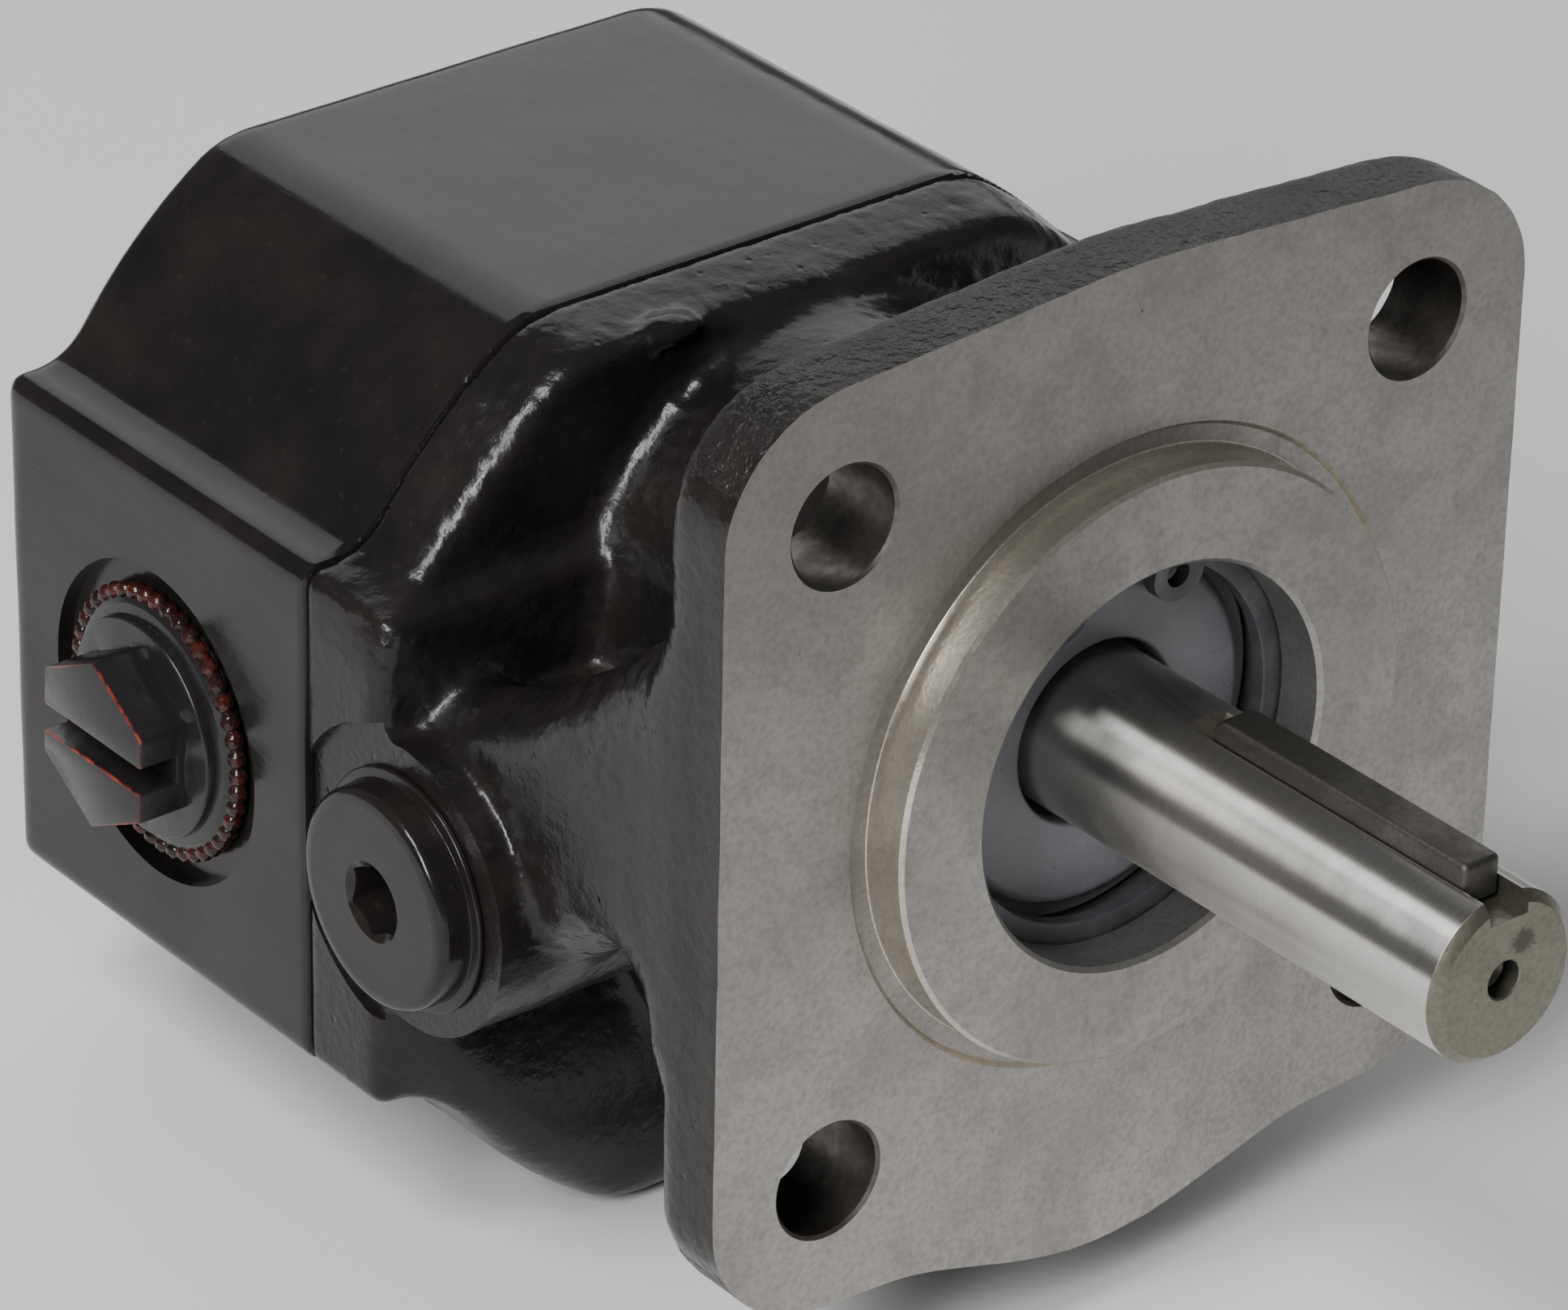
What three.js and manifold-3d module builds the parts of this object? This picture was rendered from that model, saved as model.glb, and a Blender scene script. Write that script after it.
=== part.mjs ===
// A flange-mounted external gear pump: cast front cover, one-piece gear housing, a meshed
// pair of gears on two shafts, bushes, wear plates, shaft seal, and a relief valve that
// sits crosswise in the front cover. Millimetres, +Z up.
//
// All parts are drawn in the pump's own coordinates: Y is the drive shaft's axis and points
// to the rear, Y = 0 is the front face of the mounting flange, X = 0 is the middle plane.
// The outermost group then puts the origin under the middle of the pump, at its flat base.

import * as THREE from "three";
import { mergeVertices } from "three/addons/utils/BufferGeometryUtils.js";
import Module from "manifold-3d";

const wasm = await Module();
wasm.setup();

// ---------------------------------------------------------------- driving dimensions

const GAP = 0.3; // clearance between neighbouring solids
const HALF_GAP = GAP / 2;
const ARC_STEPS = 3; // half the number of straight steps in each arc of an outline

const FLANGE = {
  thickness: 7,
  holeOffset: 25.485, // four holes on a 72.08 mm (2.838 in) bolt circle
  holeRadius: 4.37,
  cornerRadius: 10.25,
  peak: 37.4, // casting draft makes the top and bottom edges rise to this in the middle
};
const PILOT = { radius: 22.6, height: 3.3, grooveRadius: 24.1, grooveDepth: 0.4 };
const SHAFT = { radius: 6.35, frontY: -38.1, rearY: 75.3, chamfer: 0.7 };
const CENTRE_DISTANCE = 24;
const MID_Z = -CENTRE_DISTANCE / 2;

const SECTION = { radius: 39.6, topZ: 22.3, padX: 39.1, padHalfHeight: 20.3 };
const SEAM_Y = 42.2;
const RIM_Y = 35.4; // front of the clamp flange of the front cover
const BELLY_Y = 29.6; // the clamp flange reaches further forward below the shafts
const REAR_Y = 79.9;
const CHAMBER = { radius: 14.5, endY: 68.6 };
const GEARS = { teeth: 10, module: 2.4, frontY: 51.5, rearY: 65.5, tipRadius: 14.2, rootRadius: 9.4 };
const GEAR_PRESSURE_ANGLE = (25 * Math.PI) / 180;
const GEAR_BACKLASH = 0.3;
const BUSH = { boreRadius: 6.65, outerRadius: 8.9, holeRadius: 9.2 };
const REAR_BUSH = { frontY: 68.9, rearY: 75.6, holeEndY: 75.9 };
const FRONT_BUSH = { frontY: 22, rearY: 41.7 };
const BODY_SEAL_GROOVE = { radius: 16.9, halfWidth: 1.2, depth: 2 };
const SEAL_BORE = { radius: 15.2, endY: 10.3 };
const RING_GROOVE = { radius: 16.2, frontY: 0.7, rearY: 2.3 };

const BOLT = { x: 24, dz: 20, shankRadius: 3.97, holeRadius: 4.35, tipY: 37.2, headY: 72.9 };
const BOLT_HEAD = { radius: 6.2, height: 6.4, counterboreRadius: 6.9, counterboreY: 71.2 };
const PORT = { y: 61, z: -12.5, depth: 13 };
const OUTLET = { side: -1, faceRadius: 12.46, threadRadius: 7.15, passageRadius: 4.3 };
const INLET = { side: 1, faceRadius: 15.1, threadRadius: 9.55, passageRadius: 5 };
const SPOTFACE_DEPTH = 1.3;

const VALVE = {
  y: 31.3,
  z: -12.5,
  faceX: -38.3,
  bossRadius: 11,
  boreRadius: 6.35,
  boreEndX: -14,
  spotfaceRadius: 12.6,
  galleryRadius: 2.2, // the passage from the seam to the valve's seat
  galleryX: -10.5,
};

// ---------------------------------------------------------------- solids

// A closed geometry as a solid, with its faces turned outwards.
function solidOf(geometry) {
  const bare = geometry.clone();
  bare.deleteAttribute("normal");
  bare.deleteAttribute("uv");
  const merged = mergeVertices(bare, 1e-4);
  const vertProperties = new Float32Array(merged.attributes.position.array);
  const triVerts = new Uint32Array(merged.index.array);
  const make = () => new wasm.Manifold(new wasm.Mesh({ numProp: 3, vertProperties, triVerts }));
  const made = make();
  if (made.volume() > 0) return made;
  for (let i = 0; i < triVerts.length; i += 3) {
    [triVerts[i + 1], triVerts[i + 2]] = [triVerts[i + 2], triVerts[i + 1]];
  }
  return make();
}

function geometryOf(solid) {
  const { vertProperties, triVerts } = solid.getMesh();
  const geometry = new THREE.BufferGeometry();
  geometry.setAttribute("position", new THREE.BufferAttribute(vertProperties, 3));
  geometry.setIndex(new THREE.BufferAttribute(triVerts, 1));
  return geometry;
}

const joined = (...solids) => solids.reduce((all, next) => all.add(next));
const cut = (solid, ...tools) => tools.reduce((left, tool) => left.subtract(tool), solid);

// A round bar along Y (the shaft direction) and one along X (across the pump).
function rodY(radius, y0, y1, x = 0, z = 0, segments = 28) {
  const geometry = new THREE.CylinderGeometry(radius, radius, y1 - y0, segments);
  return solidOf(geometry.translate(x, (y0 + y1) / 2, z));
}

function rodX(radius, x0, x1, y, z, segments = 28) {
  const geometry = new THREE.CylinderGeometry(radius, radius, Math.abs(x1 - x0), segments);
  return solidOf(geometry.rotateZ(Math.PI / 2).translate((x0 + x1) / 2, y, z));
}

function box(x0, x1, y0, y1, z0, z1) {
  const geometry = new THREE.BoxGeometry(x1 - x0, y1 - y0, z1 - z0);
  return solidOf(geometry.translate((x0 + x1) / 2, (y0 + y1) / 2, (z0 + z1) / 2));
}

// A profile of [radius, distance] points turned round the Y axis or the X axis.
function turnedY(profile, segments = 32, x = 0, z = 0) {
  const points = profile.map(([radius, y]) => new THREE.Vector2(radius, y));
  return solidOf(new THREE.LatheGeometry(points, segments).translate(x, 0, z));
}

function turnedX(profile, segments, y, z) {
  const points = profile.map(([radius, x]) => new THREE.Vector2(radius, x));
  return solidOf(new THREE.LatheGeometry(points, segments).rotateZ(-Math.PI / 2).translate(0, y, z));
}

// A closed ring of rectangular section, and an O-ring, round an axis along Y or X.
const ringProfile = (inner, outer, a, b) => [[inner, a], [outer, a], [outer, b], [inner, b], [inner, a]];

function oRing(radius, cord, segments = 24) {
  return new THREE.TorusGeometry(radius, cord, 6, segments); // its axis is Z
}

// A shape drawn in X and Z, made solid from y0 to y1.
function slabY(shape, y0, y1, curveSegments = ARC_STEPS) {
  const geometry = new THREE.ExtrudeGeometry(shape, { depth: y1 - y0, bevelEnabled: false, curveSegments });
  return solidOf(geometry.rotateX(Math.PI / 2).translate(0, y1, 0));
}

// A solid skinned along Y through outlines that have the same number of points.
function skinY(levels) {
  const rings = levels.map(([shape, y]) => (
    shape.getPoints(ARC_STEPS).map((point) => new THREE.Vector3(point.x, y, point.y))
  ));
  const count = rings[0].length;
  const indices = [];
  for (let level = 0; level + 1 < rings.length; level += 1) {
    for (let i = 0; i < count; i += 1) {
      const a = level * count + i;
      const b = level * count + ((i + 1) % count);
      indices.push(a, b, a + count, b, b + count, a + count);
    }
  }
  const last = (rings.length - 1) * count;
  const cap = THREE.ShapeUtils.triangulateShape(levels[0][0].getPoints(ARC_STEPS), []);
  cap.forEach(([a, b, c]) => indices.push(a, c, b, last + a, last + b, last + c));
  const geometry = new THREE.BufferGeometry().setFromPoints(rings.flat());
  return solidOf(geometry.setIndex(indices));
}

// A polygon of [y, z] points, made solid from x0 to x1.
function slabX(points, x0, x1) {
  const shape = new THREE.Shape(points.map(([y, z]) => new THREE.Vector2(y, z)));
  const geometry = new THREE.ExtrudeGeometry(shape, { depth: x1 - x0, bevelEnabled: false });
  const axes = new THREE.Matrix4().makeBasis(
    new THREE.Vector3(0, 1, 0), new THREE.Vector3(0, 0, 1), new THREE.Vector3(1, 0, 0),
  );
  return solidOf(geometry.applyMatrix4(axes).translate(x0, 0, 0));
}

// ---------------------------------------------------------------- outlines

// The square mounting flange: round corners, straight sides, peaked top and bottom edges
// that run on from the corners' arcs.
function flangeOutline() {
  const { holeOffset, cornerRadius, peak } = FLANGE;
  const quarter = Math.PI / 2;
  const rise = peak - holeOffset;
  const slope = Math.asin(cornerRadius / Math.hypot(holeOffset, rise)) - Math.atan2(rise, holeOffset);
  const shape = new THREE.Shape();
  for (const turn of [0, 2 * quarter]) {
    const sign = turn === 0 ? 1 : -1;
    shape.absarc(sign * holeOffset, sign * holeOffset, cornerRadius, turn, turn + quarter + slope);
    shape.lineTo(0, sign * peak);
    const start = turn + quarter - slope;
    shape.absarc(-sign * holeOffset, sign * holeOffset, cornerRadius, start, turn + 2 * quarter);
  }
  return shape;
}

// The cross-section shared by the housing and the cover's clamp flange: a round body with
// flats above and below, and a port pad at each side.
function sectionOutline(inset = 0) {
  const radius = SECTION.radius - inset;
  const topZ = SECTION.topZ - inset;
  const padX = SECTION.padX - inset;
  const padHalfHeight = SECTION.padHalfHeight - inset;
  const flatAngle = Math.asin((topZ - MID_Z) / radius);
  const padAngle = Math.asin(padHalfHeight / radius);
  const edge = 1.5; // rounding of the pad's edges
  const shape = new THREE.Shape();
  for (const turn of [0, Math.PI]) {
    const sign = turn === 0 ? 1 : -1;
    const padZ = sign * padHalfHeight;
    const cornerX = sign * (padX - edge);
    shape.absarc(cornerX, MID_Z - padZ + sign * edge, edge, turn - Math.PI / 2, turn);
    shape.absarc(cornerX, MID_Z + padZ - sign * edge, edge, turn, turn + Math.PI / 2);
    shape.absarc(0, MID_Z, radius, turn + padAngle, turn + flatAngle);
    shape.absarc(0, MID_Z, radius, turn + Math.PI - flatAngle, turn + Math.PI - padAngle);
  }
  return shape;
}

// A slot-shaped outline round both shaft axes.
function stadium(radius, lowZ = -CENTRE_DISTANCE) {
  const shape = new THREE.Shape();
  shape.absarc(0, 0, radius, 0, Math.PI);
  shape.absarc(0, lowZ, radius, Math.PI, 2 * Math.PI);
  return shape;
}

const eachBolt = (make) => [-1, 1].flatMap((side) => [1, -1].map((end) => (
  make(side * BOLT.x, MID_Z + end * BOLT.dz)
)));
const AXES_Z = [0, -CENTRE_DISTANCE];
const DOWELS = [[-31, 0], [31, -CENTRE_DISTANCE]];
const DOWEL = { radius: 2, frontY: 37, rearY: 47.4 };

// ---------------------------------------------------------------- castings

function flangeAndPilot() {
  const { thickness, holeOffset, holeRadius } = FLANGE;
  const plate = slabY(flangeOutline(), 0, thickness);
  const { radius, height, grooveRadius, grooveDepth } = PILOT;
  const pilot = turnedY([
    [0, -height], [radius - 0.5, -height], [radius, -height + 0.5], [radius, 2], [0, 2],
  ], 56);
  const groove = turnedY(ringProfile(radius, grooveRadius, -1, grooveDepth), 56);
  const holes = [-1, 1].flatMap((sx) => [-1, 1].map((sz) => (
    rodY(holeRadius, -5, thickness + 5, sx * holeOffset, sz * holeOffset, 32)
  )));
  return cut(joined(cut(plate, groove), pilot), ...holes);
}

// The webs at each side tie the mounting flange to the clamp flange, flush with its sides.
function sideWeb(side) {
  const profile = [
    [5, 14.5], [13, 11.5], [22, 5], [36, 0],
    [36, -24], [27, -21.5], [15.5, -11], [11.5, -11.5], [5, -17],
  ];
  const innerX = 12;
  const outerX = FLANGE.holeOffset + FLANGE.cornerRadius - 0.2;
  return side < 0 ? slabX(profile, -outerX, -innerX) : slabX(profile, innerX, outerX);
}

// The clamp flange, with its front edge bevelled; its lower half, the belly, slopes forward.
function clampFlange() {
  const bevel = 2;
  const from = (frontY, rearY) => skinY([
    [sectionOutline(bevel), frontY], [sectionOutline(bevel / 4), frontY + bevel / 2],
    [sectionOutline(), frontY + bevel], [sectionOutline(), rearY],
  ]);
  const slopeTopZ = -8;
  const slopeEndZ = -40;
  const lowerHalf = slabX([
    [BELLY_Y - 1, slopeEndZ - 10], [BELLY_Y - 1, slopeEndZ], [BELLY_Y, slopeEndZ],
    [RIM_Y + 1, slopeTopZ], [SEAM_Y, slopeTopZ], [SEAM_Y, slopeEndZ - 10],
  ], -50, 50);
  return joined(from(RIM_Y, SEAM_Y + 1), from(BELLY_Y, SEAM_Y - 1).intersect(lowerHalf));
}

function valveCavity() {
  const { y, z, faceX, boreRadius, boreEndX, spotfaceRadius, galleryRadius, galleryX } = VALVE;
  const drilledRadius = galleryRadius - 0.4;
  return [
    rodX(spotfaceRadius, faceX - 5, faceX, y, z, 36),
    rodX(boreRadius, faceX - 1, boreEndX, y, z),
    rodX(galleryRadius, boreEndX - 1, galleryX + 1, y, z, 20),
    rodY(drilledRadius, y - 1, SEAM_Y + 1, galleryX, z, 20),
  ];
}

function frontCover() {
  const neckRadius = 19.8;
  const neckLowZ = -20;
  const neck = slabY(stadium(neckRadius, neckLowZ), FLANGE.thickness - 1, RIM_Y + 2, 9);
  const { y, z, faceX, bossRadius, boreEndX } = VALVE;
  const boss = rodX(bossRadius, faceX, boreEndX, y, z, 36);
  const body = joined(flangeAndPilot(), neck, clampFlange(), sideWeb(-1), sideWeb(1), boss);

  const bores = [
    rodY(SEAL_BORE.radius, -10, SEAL_BORE.endY, 0, 0, 48),
    turnedY(ringProfile(1, RING_GROOVE.radius, RING_GROOVE.frontY, RING_GROOVE.rearY), 48),
    rodY(BUSH.holeRadius, SEAL_BORE.endY - 1, SEAM_Y + 1),
    rodY(BUSH.holeRadius, 20, SEAM_Y + 1, 0, -CENTRE_DISTANCE),
  ];
  const { radius, halfWidth, depth } = BODY_SEAL_GROOVE;
  const grooveY = SEAM_Y - depth;
  const sealGroove = cut(
    slabY(stadium(radius + halfWidth), grooveY, SEAM_Y + 1, 8),
    slabY(stadium(radius - halfWidth), grooveY - 1, SEAM_Y + 2, 8),
  );
  const bolts = eachBolt((x, bz) => rodY(BOLT.holeRadius, BOLT.tipY - GAP, SEAM_Y + 1, x, bz, 20));
  const dowels = DOWELS.map(([x, dz]) => (
    rodY(DOWEL.radius + GAP, DOWEL.frontY - GAP, SEAM_Y + 1, x, dz, 14)
  ));
  const behindSeam = box(-50, 50, SEAM_Y - HALF_GAP, SEAM_Y + 20, -60, 40);
  return cut(body, behindSeam, sealGroove, ...bores, ...bolts, ...dowels, ...valveCavity());
}

function portCavity({ side, faceRadius, threadRadius, passageRadius }) {
  const { padX } = SECTION;
  const { y, z, depth } = PORT;
  return [
    rodX(faceRadius, side * (padX - SPOTFACE_DEPTH), side * (padX + 5), y, z, 32),
    rodX(threadRadius, side * (padX - depth), side * padX, y, z),
    rodX(passageRadius, side * 6, side * (padX - depth + 1), y, z, 24),
  ];
}

function gearHousing() {
  const rearBevel = 1.2;
  const block = skinY([
    [sectionOutline(), SEAM_Y - 5],
    [sectionOutline(), REAR_Y - rearBevel],
    [sectionOutline(rearBevel), REAR_Y],
  ]);
  const beforeSeam = box(-50, 50, SEAM_Y - 20, SEAM_Y + HALF_GAP, -60, 40);
  const chamber = AXES_Z.map((z) => rodY(CHAMBER.radius, SEAM_Y - 1, CHAMBER.endY, 0, z, 40));
  const bushHoles = AXES_Z.map((z) => rodY(BUSH.holeRadius, SEAM_Y, REAR_BUSH.holeEndY, 0, z));
  const boltHoles = eachBolt((x, z) => rodY(BOLT.holeRadius, SEAM_Y - 1, REAR_Y, x, z, 20));
  const counterbores = eachBolt((x, z) => (
    rodY(BOLT_HEAD.counterboreRadius, BOLT_HEAD.counterboreY, REAR_Y + 1, x, z, 24)
  ));
  const dowels = DOWELS.map(([x, z]) => (
    rodY(DOWEL.radius + GAP, SEAM_Y - 1, DOWEL.rearY + GAP, x, z, 14)
  ));
  return cut(
    block, beforeSeam, ...chamber, ...bushHoles, ...boltHoles, ...counterbores, ...dowels,
    ...portCavity(OUTLET), ...portCavity(INLET),
  );
}

// ---------------------------------------------------------------- shafts and gears

// A spur gear with involute flanks, its first tooth pointing along +X before it is turned.
function gearOutline() {
  const { teeth, module, tipRadius, rootRadius } = GEARS;
  const pitchRadius = (teeth * module) / 2;
  const baseRadius = pitchRadius * Math.cos(GEAR_PRESSURE_ANGLE);
  const involute = (radius) => {
    const angle = Math.acos(Math.min(1, baseRadius / radius));
    return Math.tan(angle) - angle;
  };
  const halfAtPitch = ((Math.PI * module) / 2 - GEAR_BACKLASH) / 2 / pitchRadius;
  const halfAngle = (radius) => halfAtPitch + involute(pitchRadius) - involute(radius);
  const pitchAngle = (2 * Math.PI) / teeth;
  const steps = 3;
  const flank = [rootRadius];
  for (let i = 0; i <= steps; i += 1) flank.push(baseRadius + ((tipRadius - baseRadius) * i) / steps);

  const points = [];
  const put = (radius, angle) => {
    points.push(new THREE.Vector2(radius * Math.cos(angle), radius * Math.sin(angle)));
  };
  for (let tooth = 0; tooth < teeth; tooth += 1) {
    const middle = tooth * pitchAngle;
    flank.forEach((radius) => put(radius, middle - halfAngle(Math.max(radius, baseRadius))));
    [...flank].reverse().forEach((radius) => put(radius, middle + halfAngle(Math.max(radius, baseRadius))));
    put(rootRadius, middle + pitchAngle / 2);
  }
  return new THREE.Shape(points);
}

const GEAR_KEY = { width: 3, innerRadius: 4.6, outerRadius: 7.6, sideFit: 0.2 };

// The bore and keyway are cut square to the gear's own first tooth, then both are turned.
function gear(z, toothAngle) {
  const { frontY, rearY } = GEARS;
  const { width, outerRadius, sideFit } = GEAR_KEY;
  const half = width / 2 + sideFit;
  const turn = new THREE.Matrix4().makeRotationY(-toothAngle);
  const blank = slabY(gearOutline(), frontY, rearY).transform(turn.elements);
  const bore = rodY(SHAFT.radius + GAP, frontY - 1, rearY + 1);
  const keyway = box(-half, half, frontY - 1, rearY + 1, 0, outerRadius + GAP);
  return cut(blank, bore, keyway).translate([0, 0, z]);
}

function gearKey(z) {
  const { width, innerRadius, outerRadius } = GEAR_KEY;
  return box(-width / 2, width / 2, GEARS.frontY + 1, GEARS.rearY - 1, z + innerRadius, z + outerRadius);
}

function gearKeySeat() {
  const { width, innerRadius, outerRadius, sideFit } = GEAR_KEY;
  const half = width / 2 + sideFit;
  const end = 1 - GAP; // the seat is one gap longer than the key at each end
  return box(-half, half, GEARS.frontY + end, GEARS.rearY - end, innerRadius - GAP, outerRadius);
}

const SHAFT_KEY = {
  width: 3.175,
  frontY: -35.4,
  rearY: -10.4,
  bottomZ: 4.7,
  topZ: 7.85,
  slotRearY: -10.1,
};

function driveShaft() {
  const { radius, frontY, rearY, chamfer } = SHAFT;
  const centreHole = [
    [0, frontY + 6], [1, frontY + 5], [1, frontY + 2.4], [1.7, frontY + 1.8], [1.7, frontY],
  ];
  const bar = turnedY([
    ...centreHole, [radius - chamfer, frontY], [radius, frontY + chamfer],
    [radius, rearY - 1], [radius - 1, rearY], [0, rearY],
  ]);
  const { width, bottomZ, slotRearY } = SHAFT_KEY;
  const fit = 0.12; // the key's clearance in its slot
  const half = width / 2 + fit;
  const floorZ = bottomZ - fit;
  const keyway = joined(
    box(-half, half, frontY - 1, slotRearY, floorZ, radius + 1),
    slabX([
      [slotRearY - 1, floorZ], [slotRearY, floorZ], [slotRearY + 3, 7], [slotRearY - 1, 7],
    ], -half, half),
  );
  return cut(bar, keyway, gearKeySeat());
}

function shaftKey() {
  const { width, frontY, rearY, bottomZ, topZ } = SHAFT_KEY;
  const end = 0.5;
  return slabX([
    [frontY, bottomZ], [rearY, bottomZ], [rearY, topZ - end], [rearY - end, topZ],
    [frontY + end, topZ], [frontY, topZ - end],
  ], -width / 2, width / 2);
}

function idlerShaft() {
  const { radius, rearY } = SHAFT;
  const frontY = FRONT_BUSH.frontY - 1;
  const bar = turnedY([
    [0, frontY], [radius - 1, frontY], [radius, frontY + 1],
    [radius, rearY - 1], [radius - 1, rearY], [0, rearY],
  ]);
  return cut(bar, gearKeySeat()).translate([0, 0, -CENTRE_DISTANCE]);
}

// ---------------------------------------------------------------- inner parts

function bush({ frontY, rearY }, z) {
  return turnedY(ringProfile(BUSH.boreRadius, BUSH.outerRadius, frontY, rearY), 28, 0, z);
}

// A plate in the shape of a figure eight that fills the chamber beside the gears.
function wearPlate(y0, y1) {
  const discs = AXES_Z.map((z) => rodY(CHAMBER.radius - GAP, y0, y1, 0, z, 36));
  const holes = AXES_Z.map((z) => rodY(BUSH.boreRadius, y0 - 1, y1 + 1, 0, z));
  const pocket = { halfWidth: 5, halfHeight: 2.5, depth: 0.8 }; // frees oil trapped at the mesh
  const relief = box(
    -pocket.halfWidth, pocket.halfWidth, y0 - 1, y0 + pocket.depth,
    MID_Z - pocket.halfHeight, MID_Z + pocket.halfHeight,
  );
  return cut(joined(...discs), ...holes, relief);
}

function bodySeal() {
  const cord = 0.85;
  const { radius } = BODY_SEAL_GROOVE;
  const path = new THREE.CurvePath();
  const corner = (angle, z) => new THREE.Vector3(radius * Math.cos(angle), 0, z + radius * Math.sin(angle));
  const points = [];
  const steps = 10;
  for (let i = 0; i <= steps; i += 1) points.push(corner((Math.PI * i) / steps, 0));
  for (let i = 0; i <= steps; i += 1) {
    points.push(corner(Math.PI + (Math.PI * i) / steps, -CENTRE_DISTANCE));
  }
  path.add(new THREE.CatmullRomCurve3(points, true, "centripetal"));
  const section = new THREE.Shape().absarc(0, 0, cord, 0, 2 * Math.PI);
  const geometry = new THREE.ExtrudeGeometry(section, {
    steps: 48, curveSegments: 3, bevelEnabled: false, extrudePath: path.curves[0],
  });
  return solidOf(geometry.translate(0, SEAM_Y - HALF_GAP - 0.97, 0));
}

function shaftSeal() {
  const outer = SEAL_BORE.radius - GAP;
  return turnedY([
    [7.5, 3], [outer - 0.4, 3], [outer, 3.4], [outer, 9.9], [12.6, 9.9], [12.6, 5], [9.6, 5],
    [9.2, 6.4], [7.9, 8.6], [6.65, 7.2], [7.5, 5.6], [7.5, 3],
  ], 40);
}

function garterSpring() {
  const geometry = oRing(10.6, 0.55).rotateX(Math.PI / 2).translate(0, 7.4, 0);
  return solidOf(geometry);
}

// An internal retaining ring: open between two lugs with plier holes.
function retainingRing() {
  const inner = 13.6;
  const outer = RING_GROOVE.radius - GAP;
  const y0 = RING_GROOVE.frontY + 0.2;
  const y1 = RING_GROOVE.rearY - 0.2;
  const band = turnedY(ringProfile(inner, outer, y0, y1), 48);
  const gapAngle = (14 * Math.PI) / 180;
  const at = (angle, radius) => [radius * Math.sin(angle), radius * Math.cos(angle)];
  const lugs = [-1, 1].map((side) => {
    const [x, z] = at(side * (gapAngle + 0.17), 12.9);
    return rodY(2.3, y0, y1, x, z, 18);
  });
  const holes = [-1, 1].map((side) => {
    const [x, z] = at(side * (gapAngle + 0.17), 12.7);
    return rodY(1, y0 - 1, y1 + 1, x, z, 10);
  });
  const [wedgeX, wedgeZ] = at(gapAngle, 24);
  const wedge = slabY(new THREE.Shape([
    new THREE.Vector2(0, 0), new THREE.Vector2(wedgeX, wedgeZ), new THREE.Vector2(-wedgeX, wedgeZ),
  ]), y0 - 1, y1 + 1);
  const outside = turnedY(ringProfile(outer, outer + 8, y0 - 1, y1 + 1), 48);
  return cut(joined(band, ...lugs), wedge, outside, ...holes);
}

function coverBolt(x, z) {
  const { shankRadius, tipY, headY } = BOLT;
  const { radius, height } = BOLT_HEAD;
  const body = turnedY([
    [0, tipY], [shankRadius - 0.8, tipY], [shankRadius, tipY + 0.8], [shankRadius, headY],
    [radius, headY], [radius, headY + height - 0.6], [radius - 0.6, headY + height], [0, headY + height],
  ], 20, x, z);
  return cut(body, hexSocketY(3.2, headY + height - 4, headY + height + 1, x, z));
}

const dowelPin = (x, z) => rodY(DOWEL.radius, DOWEL.frontY, DOWEL.rearY, x, z, 14);

function boltWasher(x, z) {
  const rubbing = 0.1; // clearance in front of and behind the washer
  const y0 = BOLT_HEAD.counterboreY + rubbing;
  const y1 = BOLT.headY - rubbing;
  return turnedY(ringProfile(BOLT.shankRadius + GAP, BOLT_HEAD.radius + GAP, y0, y1), 28, x, z);
}

function hexSocketY(halfFlats, y0, y1, x, z) {
  return rodY(halfFlats / Math.cos(Math.PI / 6), y0, y1, x, z, 6);
}

// ---------------------------------------------------------------- valve and port plugs

function valvePlug() {
  const { y, z, faceX } = VALVE;
  const outX = faceX - 3.1;
  const inX = -29.6;
  const body = turnedX([
    [0, inX], [5.4, inX], [6.05, inX - 0.6], [6.05, -36], [5.2, -36.4], [5.2, faceX - 0.2],
    [8.9, faceX - 0.2], [8.9, faceX - 0.6], [8.3, faceX - 0.6], [8.3, outX + 0.6], [7.7, outX], [0, outX],
  ], 36, y, z);
  const socket = rodX(2.75, outX - 1, outX + 4.2, y, z, 6);
  return cut(body, socket);
}

function valvePlugSeal() {
  const { y, z, faceX } = VALVE;
  return solidOf(oRing(5.75, 0.35).rotateY(Math.PI / 2).translate(faceX + 1, y, z));
}

const RELIEF = { springFrom: -29.2, springTo: -21.9, springRadius: 3.6, wire: 0.55, turns: 5 };

function reliefSpring() {
  const { springFrom, springTo, springRadius, wire, turns } = RELIEF;
  class Helix extends THREE.Curve {
    getPoint(t, target = new THREE.Vector3()) {
      const angle = 2 * Math.PI * turns * t;
      const x = THREE.MathUtils.lerp(springFrom + wire, springTo - wire, t);
      return target.set(x, springRadius * Math.cos(angle), springRadius * Math.sin(angle));
    }
  }
  const section = new THREE.Shape().absarc(0, 0, wire, 0, 2 * Math.PI);
  const geometry = new THREE.ExtrudeGeometry(section, {
    steps: turns * 10, curveSegments: 3, bevelEnabled: false, extrudePath: new Helix(),
  });
  return solidOf(geometry.translate(0, VALVE.y, VALVE.z));
}

function reliefPoppet() {
  return turnedX([
    [0, -15.9], [1.7, -16.5], [5.6, -18.6], [5.6, -21.5], [2.6, -21.5], [2.6, -24.5], [0, -24.5],
  ], 24, VALVE.y, VALVE.z);
}

function reliefSeat() {
  return turnedX([[2.3, -16.4], [6, -17.7], [6, -14.3], [2.3, -14.3], [2.3, -16.4]], 24, VALVE.y, VALVE.z);
}

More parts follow.
